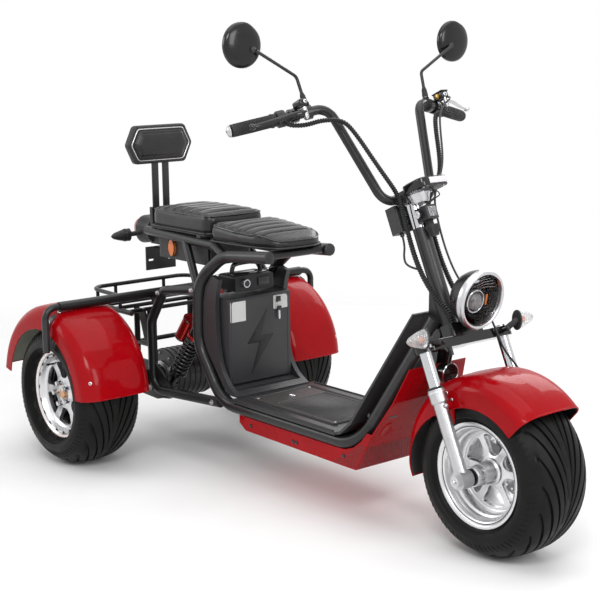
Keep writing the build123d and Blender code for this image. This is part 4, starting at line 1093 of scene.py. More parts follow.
def backrest():
    def hexagon(half, flat, high):
        return [(-half, 0), (-flat, -high), (flat, -high), (half, 0), (flat, high), (-flat, high)]

    frame_axes = (Y_AXIS, Z_AXIS, X_AXIS)
    lift = Vector((0, 0, 0.995))
    back = REAR_X - 0.114
    shell = Piece("backrest_shell", "frame", "black_plastic")
    outer = rounded_outline(hexagon(0.13, 0.1, 0.064), 0.016)
    shell.slab(outer, back, back + 0.026, lift, frame_axes, plastic_black, 0.006, 4)
    ring = rounded_outline(hexagon(0.116, 0.089, 0.0525), 0.015, 10)
    x_at = back + 0.0262
    around = [lift + Vector((x_at, y, z)) for y, z in ring]
    shell.tube(around + [around[0]], 0.0021, satin_silver, 10, ends=False)
    for side in (-1, 1):
        shell.screw((back - 0.0002, side * 0.021, 0.995), (-1, 0, 0), 0.006, 0.0036)
    shell.done()
    pad_outline = [(y, z + 0.995) for y, z in rounded_outline(hexagon(0.1145, 0.0875, 0.051),
        0.014)]

    def welt(y, z, x, forward):
        if forward < 0.3:
            return 0.0
        z -= 0.995
        edge = min(0.051 - abs(z), (0.1145 - abs(y)) * 0.9 - abs(z) * 0.36)
        return -0.003 * math.exp(-(((edge - 0.012) / 0.0034) ** 2)) + 0.002 * blend_in(edge, 0.014,
            0.035)

    cushion("backrest_cushion", "backrest_pad", pad_outline, back + 0.022, REAR_X - 0.0745,
        frame_axes, start_in=0.003, cap=0.006, soft=0.007, ribs=welt)


rear_cushion()
front_cushion()
backrest()


# ---------------------------------------------------------------- fenders
def crown_profile(crown, half, edge):
    """Half of a fender's section as (radius, width), from its side edge up to its crown."""
    return smooth_line(
        [
            (edge, half), (crown - 0.05, half - 0.0012), (crown - 0.034, half - 0.0035),
            (crown - 0.016, half - 0.018), (crown - 0.0035, half - 0.046), (crown, 0.0),
        ],
        8,
    )


def clipped(line, low, count):
    """The profile from a radius upwards, evened out to a number of points."""
    kept = [line[0]]
    for a, b in zip(line, line[1:]):
        if b[0] <= low:
            kept = [b]
            continue
        if a[0] < low:
            t = (low - a[0]) / (b[0] - a[0])
            kept = [(low, a[1] + (b[1] - a[1]) * t)]
        kept.append(b)
    lengths = [0.0]
    for a, b in zip(kept, kept[1:]):
        lengths.append(lengths[-1] + math.dist(a, b))
    found = []
    k = 0
    for i in range(count):
        want = lengths[-1] * i / (count - 1)
        while k < len(kept) - 2 and lengths[k + 1] < want:
            k += 1
        run = lengths[k + 1] - lengths[k] or 1e-9
        t = min(1.0, max(0.0, (want - lengths[k]) / run))
        found.append(tuple(p + (q - p) * t for p, q in zip(kept[k], kept[k + 1])))
    return found


def fender(name, node, body, centre, crown, half, edge, start, sweep, lining, edge_at=None):
    """A smooth crowned shell with a rolled edge and its own lining."""
    line = crown_profile(crown, half, edge)
    thick = 0.0028
    steps, count = 110, 22
    outer_rows, inner_rows, rims = [], [], ([], [])
    for k in range(steps + 1):
        degrees = start + sweep * k / steps
        low = edge_at(degrees) if edge_at else edge
        near = clipped(line, max(edge, low), count)
        whole = near + [(r, -w) for r, w in reversed(near[:-1])]
        out = ray(math.radians(degrees))
        outer = [centre + out * r + Y_AXIS * w for r, w in whole]
        inner = []
        for i, (r, w) in enumerate(whole):
            a, b = whole[max(i - 1, 0)], whole[min(i + 1, len(whole) - 1)]
            way = Vector((b[0] - a[0], b[1] - a[1])).normalized()
            inner.append(centre + out * (r + way.y * thick) + Y_AXIS * (w - way.x * thick))
        outer_rows.append(outer)
        inner_rows.append(inner)
        for side, spot in ((0, 0), (1, -1)):
            rims[side].append((outer[spot] + inner[spot]) / 2)
    piece = Piece(name, body, "red_paint", (node,))
    piece.grid(outer_rows, paint_red)
    piece.grid(inner_rows, lining)
    first, last = (
        [(a + b) / 2 for a, b in zip(outer_rows[end], inner_rows[end])][1:-1] for end in (0, -1)
    )
    edges = rims[0] + last + rims[1][::-1] + first[::-1]
    piece.tube(edges + [edges[0]], 0.0023, paint_red, 8, ends=False)

    def on_skin(degrees, width, lift=0.0):
        out = ray(math.radians(degrees))
        # the highest stretch of the section that crosses this width
        (r0, w0), (r1, w1) = max(
            (p for p in zip(line, line[1:]) if p[1][1] <= abs(width) <= p[0][1]),
            key=lambda p: p[0][0],
        )
        t = (abs(width) - w0) / ((w1 - w0) or 1e-9)
        way = Vector((r1 - r0, w1 - w0)).normalized()
        normal = out * -way.y + Y_AXIS * math.copysign(way.x, width)
        return centre + out * (r0 + (r1 - r0) * t) + Y_AXIS * width + normal * lift, normal

    return piece, on_skin


def rear_fender(side, label):
    centre = along(-0.03, side * 0.398, AXLE_Z + 0.0064)
    node = "rear_" + label + "_fender"
    piece, on_skin = fender(
        node + "_shell", node, "frame", centre, 0.28, 0.125, 0.208, 4, 166, liner_grey
    )
    for degrees, width in ((112, 0.074), (84, 0.096), (16, 0.1), (150, 0.1), (100, -0.085)):
        place, normal = on_skin(degrees, side * width, -0.0004)
        piece.screw(place, normal, 0.0055, 0.0024, chrome)
    piece.done()
    # the strap from the guard bar down the outer shoulder
    strap = Piece(node + "_strap", "frame", "frame_black")
    line = crown_profile(0.28, 0.125, 0.208)
    rows = []
    for degrees in (73.0, 73.3, 77.0, 77.3):
        lift = 0.0004 if degrees in (73.0, 77.3) else 0.0034
        out = ray(math.radians(degrees))
        row = []
        for i, (r, w) in enumerate(line[4:-14]):
            a, b = line[i + 3], line[i + 5]
            way = Vector((b[0] - a[0], b[1] - a[1])).normalized()
            row.append(centre + out * (r - way.y * lift) + Y_AXIS * (side * (w + way.x * lift)))
        rows.append(row)
    strap.grid(rows, frame_black)
    for degrees, width in ((75.2, 0.1215), (75.2, 0.088)):
        place, normal = on_skin(degrees, side * width, 0.003)
        strap.screw(place, normal, 0.0062, 0.0035)
    strap.done()


rear_fender(-1, "right")
rear_fender(1, "left")

TAIL = [(47, 0.182), (112, 0.182), (118, 0.182), (126, 0.1845), (140, 0.199), (156, 0.2145),
    (172, 0.229), (185, 0.243), (194, 0.2535)]


def tail_radius(degrees):
    for (a, r), (b, s) in zip(TAIL, TAIL[1:]):
        if degrees <= b:
            return r + (s - r) * (degrees - a) / (b - a)
    return TAIL[-1][1]


def front_fender():
    centre = Vector((FRONT_X, 0, AXLE_Z))
    piece, on_skin = fender(
        "front_fender_shell", "front_fender", "steering", centre, 0.262, 0.116, 0.182, 47, 147,
        plastic_black, tail_radius,
    )
    for side in (-1, 1):
        piece.rod(on_column(0.032, side * 0.113, 0.193), on_column(0.032, side * 0.1292, 0.193),
            0.011, paint_red)
        place = on_column(0.032, side * 0.116, 0.226)
        piece.screw(place + Vector((0.002, 0, 0)), (0, side, 0), 0.0055, 0.003, chrome)
        # the pointed lug below the fork bracket
        lug = []
        for degrees, radius in ((110, 0.186), (119, 0.186), (117.5, 0.168), (116.5, 0.142),
                (113.5, 0.158)):
            lug.append((ray(math.radians(degrees)) * radius).xz)
        piece.slab(lug, 0.1128, 0.1156, centre, (X_AXIS, Z_AXIS, Y_AXIS * side), paint_red, 0.0008)
    bolts = Piece("front_fender_bolts", "steering", "steel")
    for side in (-1, 1):
        for rise in (0.181, 0.205):
            spot = on_column(0.018 if rise < 0.19 else 0.046, side * 0.116, rise)
            bolts.screw(spot, (0, side, 0), 0.0045, 0.003)
    piece.done()
    bolts.done()


front_fender()


# ---------------------------------------------------------------- headlamp and indicators
LAMP_TILT = math.radians(9)
lamp_way = Vector((math.cos(LAMP_TILT), 0, -math.sin(LAMP_TILT)))
lamp_up = Vector((math.sin(LAMP_TILT), 0, math.cos(LAMP_TILT)))
lamp_at = along(1.392, 0, 0.665)
LAMP_AXES = (lamp_way, Y_AXIS, lamp_up)


def in_lamp(forward, y, up):
    """A point given from the middle of the headlamp's rim, along its own axes."""
    return lamp_at + lamp_way * forward + Y_AXIS * y + lamp_up * up


def headlamp():
    shell = Piece("headlamp_shell", "steering", "black_plastic", ("headlamp_bucket",))
    back = smooth_line(
        mm((0, -96.5), (10, -95.5), (34, -86), (55, -70), (69, -50), (76, -31), (78.2, -21)),
        6,
    )
    shell.lathe(back, lamp_at, lamp_way, bucket_black, 72)
    shell.rod(on_column(0.048, 0, 0.3985), on_column(0.048, 0, 0.446), 0.011, gloss_black)
    for side in (-1, 1):
        spot = in_lamp(-0.04, side * 0.0735, 0)
        shell.lathe(mm((8.5, 1), (7.5, 2.6), (5, 2.8), (4.4, 1), (0, 1)), spot, (-0.35, side, 0.05),
            gloss_black, 24)
    shell.done()

    ring = Piece("headlamp_ring", "steering", "chrome", ("headlamp_rim",))
    ring.lathe(smooth_line(mm((78, -21.5), (80, -20.5), (80.6, -15), (80.2, -7), (77.8, -1.4),
        (73.8, 0), (70.6, -1.4), (69.2, -5.6), (68.6, -12)), 4), lamp_at, lamp_way, satin_silver,
        96)
    ring.rod(in_lamp(-0.012, 0, -0.0795), in_lamp(-0.012, 0, -0.0835), 0.0035, turned_steel, 12)
    ring.done()

    inside = Piece("headlamp_reflector", "steering", "chrome")
    bowl = smooth_line(mm((68.4, -10.5), (66, -22), (60, -38), (47, -54), (28, -61), (0, -62)), 5)
    inside.lathe(bowl, lamp_at, lamp_way, reflector_dark, 72)
    for k in range(14):
        turn = math.radians(25 + 130 * k / 13)
        out = lamp_up * math.sin(turn) + Y_AXIS * math.cos(turn)
        a = lamp_at + out * 0.034 - lamp_way * 0.052
        b = lamp_at + out * 0.0645 - lamp_way * 0.019
        mid = (a + b) / 2 - lamp_way * 0.004 + out * 0.002
        inside.tube([a, mid, b], 0.0012, satin_silver, 5)
    low = lamp_at - lamp_up * 0.01
    inside.lathe(smooth_line(mm((24, -58), (30, -46), (33.5, -34), (32.5, -28), (28.5, -27),
        (26.2, -32)), 4), low, lamp_way, chrome, 56)
    inside.lathe(mm((26.2, -32), (25, -40), (0, -42)), low, lamp_way, gloss_black, 40)
    inside.lathe(
        smooth_line(mm((25, -36), (22.5, -26.5), (15, -20), (7, -17.8), (0, -17.4)), 5),
        low, lamp_way, projector_glass, 48,
    )
    for side in (-1, 1):
        spot = in_lamp(-0.034, side * 0.046, -0.012)
        inside.block(spot, (0.004, 0.006, 0.03), amber_lens, LAMP_AXES, 0.0015)
    inside.block(in_lamp(-0.034, 0, 0.044), (0.006, 0.026, 0.008), chrome, LAMP_AXES)
    inside.done()

    glass = Piece("headlamp_glass", "steering", "clear_lens", ("headlamp_lens",))
    glass.lathe(
        smooth_line(
            mm((68, -10), (67, -7), (56, -3), (30, -0.6), (0, 0)),
            5,
        )
        + smooth_line(mm((0, -2.5), (30, -3.1), (56, -5.5), (66, -9), (68, -10)), 5),
        lamp_at, lamp_way, head_glass, 72,
    )
    glass.done()


def arrow_section(wide, high, t):
    """The half width and height of an arrow lens, t of the way out."""
    bulge = math.sin(math.pi * t)
    return wide * (1 - t) + 0.004 * t + 0.0028 * bulge, high * (1 - t) + 0.006 * t + 0.003 * bulge


def arrow_lens(piece, place, side, mat, length=0.068, wide=0.016, high=0.027):
    """A pointed lens that stands out sideways, its section an ellipse."""
    rows = []
    for k in range(19):
        t = k / 18
        tip = math.sqrt(max(0.0, 1 - max(0.0, t - 0.86) / 0.14))
        rx, rz = (max(r * tip, 0.0004) for r in arrow_section(wide, high, t))
        rows.append(hoop(place + Y_AXIS * (side * length * t), X_AXIS * rx, Z_AXIS * rz, 28))
    piece.grid(rows, mat)


def front_indicators():
    piece = Piece("front_indicator_lamps", "steering", "clear_lens", ("front_indicators",))
    for side in (-1, 1):
        foot, knee, head = (on_column(x, side * 0.12, 0.351) for x in (0.0624, 0.076, 0.083))
        end = on_column(0.076, side * 0.173, 0.37)
        piece.rod(foot, head, 0.007, gloss_black)
        piece.nut(head, column_x, 0.006, 0.004, gloss_black)
        way = (end - knee).normalized()
        piece.tube([knee + way * 0.003, knee + (end - knee) * 0.5, end + way * 0.002],
            [0.0055, 0.0062, 0.0075], plastic_black, 16)
        for k in range(5):
            mid = knee + (end - knee) * (0.3 + 0.11 * k)
            piece.lathe(mm((5.8, -1.8), (8.2, -1), (8.2, 1), (5.8, 1.8)), mid, way, plastic_black,
                20)
        arrow_lens(piece, end, side, clear_lens)
        # a black base plate, an amber bulb in a bright holder and a bright back
        axes = (X_AXIS, Z_AXIS, Y_AXIS * side)
        piece.slab(oval(0.0172, 0.0282, 32), -0.001, 0.0045, end, axes, plastic_black, 0.001)
        piece.slab(oval(0.014, 0.0235, 28), 0.0045, 0.0065, end, axes, chrome, 0)
        piece.rod(end + Y_AXIS * (side * 0.006), end + Y_AXIS * (side * 0.012), 0.0055,
            satin_silver, 16)
        piece.ball(end + Y_AXIS * (side * 0.019), 0.0075, amber_lens, 20, 1.2, (0, side, 0))
    piece.done()


headlamp()
front_indicators()


# ---------------------------------------------------------------- handlebar controls
COLUMN_AXES = (column_x, Y_AXIS, column_z)
BEND = Vector((-0.036, 0.17, 1.05))
TIP = Vector((-0.136, 0.432, 1.036))
BAR_RUN = (BEND - TIP).length


def on_bar(side, distance, forward=0.0):
    """A point on a bar's straight end, measured inward from its tip, or ahead of it."""
    point = TIP + (BEND - TIP) / BAR_RUN * distance
    return on_column(point.x + forward, side * point.y, point.z)


def bar_way(side):
    return (on_bar(side, 0.1) - on_bar(side, 0.0)).normalized()


def bar_piece(name, side, slot, node):
    """A piece for one end of the bar; the left one stands in for the CAD node of both."""
    end = "left" if side > 0 else "right"
    return Piece(name + "_" + end, "steering", slot, (node,) if side > 0 else ())


def four_screws(piece, place, along_x, along_y, direction, radius, height):
    """A screw at each corner of a rectangle in the column's axes."""
    for sx in (-1, 1):
        for sy in (-1, 1):
            spot = place + column_x * (along_x * sx) + Y_AXIS * (along_y * sy)
            piece.screw(spot, direction, radius, height)


def grip(side):
    piece = bar_piece("grip", side, "grip_rubber", "grips")
    way = bar_way(side)
    x, y, _ = axes_of(way)
    rows = []
    spread = mm((0.5, 15), (1.5, 16.8), (4, 17.2), (6, 17.2), (6.8, 16.6), (8, 16.6), (9.5, 16.3),
        (30, 16.3), (60, 16.6), (90, 16.3), (109, 16.3), (110, 16.6), (112, 17.2), (114, 18.8),
        (117, 19.2), (120, 18.8), (121.5, 17.4), (127, 17.2), (127.8, 15))
    ribs = 28
    for distance, radius in spread:
        rib = 0.0011 if 0.009 < distance < 0.1095 else 0.0
        at = on_bar(side, distance)
        row = []
        for a in turns(ribs * 4):
            reach = radius + rib * max(0.0, math.cos(ribs * a))
            row.append(at + (x * math.cos(a) + y * math.sin(a)) * reach)
        rows.append(row + [row[0]])
    piece.grid(rows, grip_rubber)
    piece.rod(on_bar(side, -0.0005), on_bar(side, -0.0035), 0.016, gloss_black, 40, 0.001)
    dome = mm((0, -12), (6, -11.5), (11.5, -9.2), (14.8, -6), (15.8, -3.4))
    piece.lathe(dome, on_bar(side, 0), way, satin_silver, 44)
    piece.lathe([(0.0, -0.0124), (0.0038, -0.0121)], on_bar(side, 0), way, gloss_black, 6)
    piece.done()


def switch_pod(side):
    way = bar_way(side)
    piece = bar_piece("switch_pod", side, "black_plastic", "switch_pods")
    profile = mm((11.5, 131), (20.5, 131.2), (22.5, 133), (22.9, 135.5), (22.9, 142.5),
        (22.2, 142.8), (22.2, 143.6), (22.9, 143.9), (22.9, 151.5), (22.2, 153.8), (20, 154.9),
        (11.5, 155))
    piece.lathe(profile, on_bar(side, 0), way, plastic_black, 56)
    up = (column_z * 0.8 - column_x * 0.6).normalized()
    aside = way.cross(up).normalized()
    face = on_bar(side, 0.143) - column_x * 0.017 + column_z * 0.012
    piece.block(face, (0.021, 0.02, 0.014), plastic_black, (way, aside, up), 0.0035, 3)
    top = face + up * 0.0072
    piece.block(top - way * 0.005, (0.008, 0.01, 0.005), gloss_black, (way, aside, up), 0.0012)
    button = top + way * 0.0052
    colour = button_red if side > 0 else button_green
    piece.rod(button, button + up * 0.0036, 0.0042, colour, 20)
    for edge in (-aside, aside):
        spot = on_bar(side, 0.1365) - up * 0.015 + edge * 0.014
        piece.screw(spot, edge * 0.7 - up, 0.0026, 0.0016)
    piece.done()


def brake_lever(side):
    way = bar_way(side)
    piece = bar_piece("brake_lever", side, "gloss_black", "brake_controls")
    clamp = mm((11.3, 165), (18.5, 165.2), (19.8, 166.8), (19.8, 175.2), (18.6, 176), (18.6, 180),
        (19.8, 180.8), (19.8, 190.2), (18.6, 191.8), (11.3, 192))
    piece.lathe(clamp, on_bar(side, 0), way, gloss_black, 48)
    centre = on_bar(side, 0.18)
    body = centre + column_x * 0.038 + column_z * 0.018
    if side > 0:
        piece.block(body, (0.04, 0.027, 0.021), gloss_black, COLUMN_AXES, 0.005, 3)
        lid = body + column_z * 0.0112
        piece.block(lid, (0.042, 0.029, 0.0045), gloss_black, COLUMN_AXES, 0.0018, 2)
        four_screws(piece, body + column_z * 0.0134, 0.0155, 0.0095, column_z, 0.0022, 0.0011)
        piece.rod(body - Y_AXIS * 0.0132, body - Y_AXIS * 0.0215, 0.0052, brass, 24)
        piece.nut(body - Y_AXIS * 0.015 + column_x * 0.0004, -Y_AXIS, 0.0062, 0.005, brass)
        glass = body + column_x * 0.0196
        piece.rod(glass, glass + column_x * 0.0016, 0.0062, mirror_glass, 24)
    else:
        piece.block(body, (0.038, 0.024, 0.019), gloss_black, COLUMN_AXES, 0.005, 3)
        piece.rod(body - Y_AXIS * -0.01, body + Y_AXIS * 0.03, 0.0045, turned_steel, 20)
        piece.rod(body + Y_AXIS * 0.022, body + Y_AXIS * 0.028, 0.0066, gloss_black, 24)
    drop = column_z * (0.0 if side > 0 else -0.01)
    metal = satin_silver if side > 0 else gloss_black
    pivot = centre + column_x * 0.052 + drop
    tip = on_bar(side, 0.03, 0.046) + drop * 1.4
    piece.rod(pivot - column_z * 0.012, pivot + column_z * 0.014, 0.0062, turned_steel, 24)
    piece.nut(pivot - column_z * 0.012, -column_z, 0.0052, 0.005)
    sag = column_x * 0.008
    path = [pivot - column_z * 0.001, pivot + (tip - pivot) * 0.12 + sag * 1.1,
        pivot + (tip - pivot) * 0.35 + sag * 0.7, pivot + (tip - pivot) * 0.62 - sag * 0.1,
        pivot + (tip - pivot) * 0.84 - sag * 0.25, tip]
    line = curve_through(path, 3, 8)
    count = len(line)
    rows = []
    for i, point in enumerate(line):
        t = i / (count - 1)
        ahead = (line[min(i + 1, count - 1)] - line[max(i - 1, 0)]).normalized()
        flat = column_z - ahead * ahead.dot(column_z)
        flat.normalize()
        deep = ahead.cross(flat)
        wide = 0.0078 * (1 - t) + 0.0052 * t
        thick = 0.0054 * (1 - t) + 0.0036 * t
        rows.append(hoop(point, flat * wide, deep * thick, 18))
    piece.grid(rows, metal)
    piece.ball(pivot + (tip - pivot) * 0.01, 0.0072, metal, 18)
    piece.ball(tip, 0.0088, metal, 26)
    piece.screw(body + column_x * 0.0195 + Y_AXIS * (side * -0.003), column_x, 0.0058, 0.0032,
        chrome)
    piece.done()


def mirror(side):
    piece = bar_piece("mirror", side, "gloss_black", "mirrors")
    place = on_column(-0.042, side * 0.392, 1.237)
    shell = smooth_line(mm((55.5, -6.8), (58.8, -7.8), (60, -6), (60, 1), (58.5, 5), (53, 9.2),
        (40, 13.2), (22, 15.4), (0, 16)), 5)
    piece.lathe(shell, place, (1, 0, 0), mirror_shell, 72)
    piece.lathe([(0.0, -0.0069), (0.0556, -0.0066)], place, (1, 0, 0), mirror_glass, 72)
    knuckle = place + Vector((0.0145, -side * 0.024, -0.012))
    piece.ball(knuckle, 0.0092, plastic_black, 24)
    collar = mm((11.3, 213.2), (18.2, 213.4), (19.6, 214.8), (19.6, 229.2), (18.2, 230.8),
        (11.3, 231))
    piece.lathe(collar, on_bar(side, 0), bar_way(side), gloss_black, 40)
    base = on_column(-0.057, side * 0.225, 1.063)
    rise = (on_column(-0.051, side * 0.233, 1.148) - base).normalized()
    boot = mm((8.5, 10), (8.8, 18), (7.8, 20), (8.4, 23), (7.3, 26), (7.9, 29), (6.6, 33),
        (4.6, 40))
    piece.lathe(boot, base, rise, grip_rubber, 32)
    piece.nut(base + rise * 0.005, rise, 0.0075, 0.006, gloss_black)
    piece.done()


for side in (-1, 1):
    grip(side)
    switch_pod(side)
    brake_lever(side)
    mirror(side)


# ---------------------------------------------------------------- display, lock and cables
def laid(route, steps=12, side=1):
    """A smooth line through a route given in millimetres along the column's axes."""
    return curve_through([on_column(x / 1000, side * y / 1000, z / 1000) for x, y, z in route], 3,
        steps)


def dashboard():
    base = on_column(0.066, 0, 0.765)
    piece = Piece("display_case", "steering", "black_plastic", ("dash_display",))
    for inset, radius, low, high, mat, bevel, steps in (
        (0.001, 0.0235, 0.0, 0.006, plastic_black, 0.002, 3),
        (0.0, 0.024, 0.0052, 0.0226, display_band, 0.0024, 3),
        (0.0016, 0.023, 0.0218, 0.0258, gloss_black, 0.0022, 3),
        (0.01, 0.015, 0.025, 0.0262, screen_glass, 0.0005, 2),
    ):
        wide, deep = 0.042 - inset, 0.054 - inset
        plan = rounded_outline(corners(-wide, wide, -deep, deep), radius, 8)
        piece.slab(plan, low, high, base, COLUMN_AXES, mat, bevel, steps)
    near = rounded_outline(
        corners(-0.0425, 0.0425, -0.0545, -0.024), [0.024, 0.024, 0.001, 0.001], 8
    )
    piece.slab(near, -0.0004, 0.0245, base, COLUMN_AXES, gloss_black, 0.0034, 3)
    four_screws(piece, base, 0.026, 0.037, -column_z, 0.0034, 0.0018)
    piece.done()

    cup = Piece("display_cup_trim", "steering", "cast_aluminium")
    cup.lathe(mm((22.2, 738), (23.6, 738.2), (24.4, 740), (33.8, 764)), on_column(0.028, 0, 0),
        column_z, satin_silver, 56)
    # two short leads under the display
    for route, radius in (
        ([(64, 20, 764), (70, 26, 748), (58, 14, 736), (52, -4, 730), (50, -10, 722.8)], 0.0022),
        ([(80, -6, 766), (94, 6, 752), (82, 26, 742), (58, 30, 742), (36, 26, 736)], 0.0017),
    ):
        cup.tube(laid(route, 8), radius, hose_rubber, 8)
    cup.lathe(mm((32.5, 762.2), (33.8, 762.6), (33.8, 764.6), (32.6, 764.8)), on_column(0.028, 0,
        0), column_z, satin_silver, 56)
    clamp_top = on_column(-0.008, 0, 0.7843)
    four_screws(cup, clamp_top, 0.016, 0.0225, column_z, 0.0052, 0.0048)
    cup.done()

    lock = Piece("ignition_trim", "steering", "chrome")
    way = -Y_AXIS
    at = on_column(0.038, -0.036, 0.705)
    lock.lathe(mm((10.8, -0.6), (10.8, 1.6), (9.6, 2.6), (8.2, 2.6), (7.8, 1.2), (0, 1.2)), at, way,
        satin_silver, 40)
    lock.block(at + way * 0.0014, (0.0012, 0.0008, 0.0068), gloss_black, (column_x, way, column_z),
        0.0002)
    lock.block(on_column(0.0585, -0.006, 0.704), (0.019, 0.036, 0.034), satin_silver, COLUMN_AXES,
        0.0035, 3)
    for dz in (-0.011, 0.011):
        lock.screw(on_column(0.0679, -0.006, 0.704 + dz), column_x, 0.003, 0.0018)
    lock.done()


def conduit(piece, line, radius, depth, pitch, mat, thicker):
    """A tube with close ridges, as of split corrugated or spiral-wrapped cable."""
    even = [line[0]]
    step = pitch / 4
    spare = 0.0
    for a, b in zip(line, line[1:]):
        run = (b - a).length
        at = step - spare
        while at <= run:
            even.append(a + (b - a) * (at / run))
            at += step
        spare = run - (at - step)
    radii = [
        radius * thicker(point) - depth * (0.5 - 0.5 * math.cos(math.pi * i / 2))
        for i, point in enumerate(even)
    ]
    piece.tube(even, radii, mat, 12)


def cables():
    piece = Piece("control_cable_looms", "steering", "black_plastic", ("control_cables",))
    loom = [(-67.6, 299.1, 1026.9), (-56.6, 303.3, 1015.1), (-42, 286, 1006), (-28, 262, 1002),
        (-12, 226, 1006), (8, 182, 998), (17, 156, 972), (31, 116, 850), (31, 94, 806),
        (18, 66, 776), (4, 50, 744), (-4, 46, 690), (-8, 46, 600), (2, 44, 530), (22, 38, 470),
        (38, 26, 432), (38, 26, 398.3)]
    hose = [(-13.66, 264, 1053.86), (-0.9, 264, 1048.1), (13, 248, 1038), (20, 215, 1022),
        (30, 172, 992), (44, 140, 940), (48, 112, 850), (42, 84, 800), (26, 64, 764), (16, 58, 720),
        (10, 56, 620), (20, 56, 530), (44, 66, 460), (68, 84, 410), (70, 92, 350), (64, 104, 300),
        (60, 132, 262), (61, 147.5, 225), (58, 147.5, 150), (54, 140, 110), (38, 122, 84),
        (2, 112, 70), (-27, 106, 58), (-27, 87.6, 58)]
    box = [(-54, -22, 681.7), (-54, -22, 650), (-52, -44, 612), (-34, -56, 584), (-8, -47, 568)]

    def lower(point):
        rise = (point - column_foot).dot(column_z)
        return 1 + 0.12 * (1 - blend_in(rise, 0.6, 0.72))

    for side in (-1, 1):
        conduit(piece, laid(loom, side=side), 0.007, 0.0018, 0.007, loom_black, lower)
    piece.tube(laid(hose), 0.003, hose_rubber, 10)
    piece.tube(laid(box), 0.003, hose_rubber, 10)
    piece.rod(on_column(-0.054, -0.022, 0.6818), on_column(-0.054, -0.022, 0.672), 0.006,
        gloss_black, 20)
    piece.done()


dashboard()
cables()


# ---------------------------------------------------------------- battery, deck and fairing trim
BATTERY_FACE = REAR_X + 0.44


def battery_trim():
    axes = (Y_AXIS, Z_AXIS, X_AXIS)
    origin = Vector((BATTERY_FACE, 0, 0))
    piece = Piece("battery_trim", "frame", "black_plastic")
    bolt = [(0.0294, 0.5035), (-0.0505, 0.4006), (-0.0028, 0.4006), (-0.0366, 0.303),
        (0.0503, 0.4194), (0.0008, 0.4194)]
    piece.slab([(y * 0.985, z) for y, z in bolt], -0.0021, 0.0008, origin, axes, bolt_black, 0.0006)
    frame_line = rounded_outline(corners(-0.112, 0.112, 0.282, 0.544), 0.014)
    loop = [origin + Vector((0.0002, y, z)) for y, z in smooth_line(frame_line + frame_line[:1], 2)]
    piece.tube(loop, 0.0016, battery_black, 6, ends=False)
    # carrying handle, its recess and the catch
    arch = [(-0.056, 0.6125), (-0.056, 0.64), (-0.034, 0.6475)]
    arch += [(-y, z) for y, z in reversed(arch)]
    piece.tube(curve_through([along(0.372, y, z) for y, z in arch], 3, 8), 0.0075, gloss_black, 16)
    piece.block(along(0.372, 0, 0.6135), (0.052, 0.128, 0.004), gloss_black, None, 0.0015)
    piece.block(along(0.4165, 0.034, 0.59), (0.005, 0.044, 0.026), gloss_black, None, 0.002)
    piece.lathe(mm((13.4, 0), (14, 10), (12.8, 14.2), (10, 14.6), (9.2, 12), (0, 12)),
        along(0.4152, -0.04, 0.59), X_AXIS, satin_silver, 40)
    piece.block(along(0.4276, -0.04, 0.59), (0.0012, 0.0018, 0.0095), gloss_black, None, 0.0003)
    piece.done()

    labels = Piece("blank_labels", "frame")
    for sides in ((-0.116, -0.056, 0.476, 0.54), (0.054, 0.114, 0.498, 0.542)):
        plate = rounded_outline(corners(*sides), 0.003, 3)
        labels.slab(plate, 0.0002, 0.0006, origin, axes, white_label, 0.0001, 1)
    labels.done()

    key = Piece("battery_key", "frame", "steel")
    hold = Vector((BATTERY_FACE, 0.07, 0.53))
    key.lathe(mm((10.5, 0), (10.5, 3), (9, 4.2), (0, 4.2)), hold, X_AXIS, satin_silver, 32)
    key.block(hold + X_AXIS * 0.0068, (0.005, 0.017, 0.019), gloss_black, None, 0.0022, 3)
    hang = hold + X_AXIS * 0.0088
    ring = hoop(hang - Z_AXIS * 0.013, Y_AXIS * 0.0045, Z_AXIS * 0.0065, 20)
    key.tube(ring, 0.0007, turned_steel, 6, ends=False)
    for spot, size, mat, bevel, steps in (
        ((0, 0.001, -0.029), (0.005, 0.0165, 0.015), gloss_black, 0.002, 3),
        ((0, 0.001, -0.05), (0.0018, 0.007, 0.029), turned_steel, 0.0005, 2),
        *(
            ((0, 0.0052, -0.043 - 0.005 * k), (0.0017, 0.0022, 0.0022), turned_steel, 0.0003, 2)
            for k in range(4)
        ),
    ):
        key.block(hang + Vector(spot), size, mat, None, bevel, steps)
    key.done()


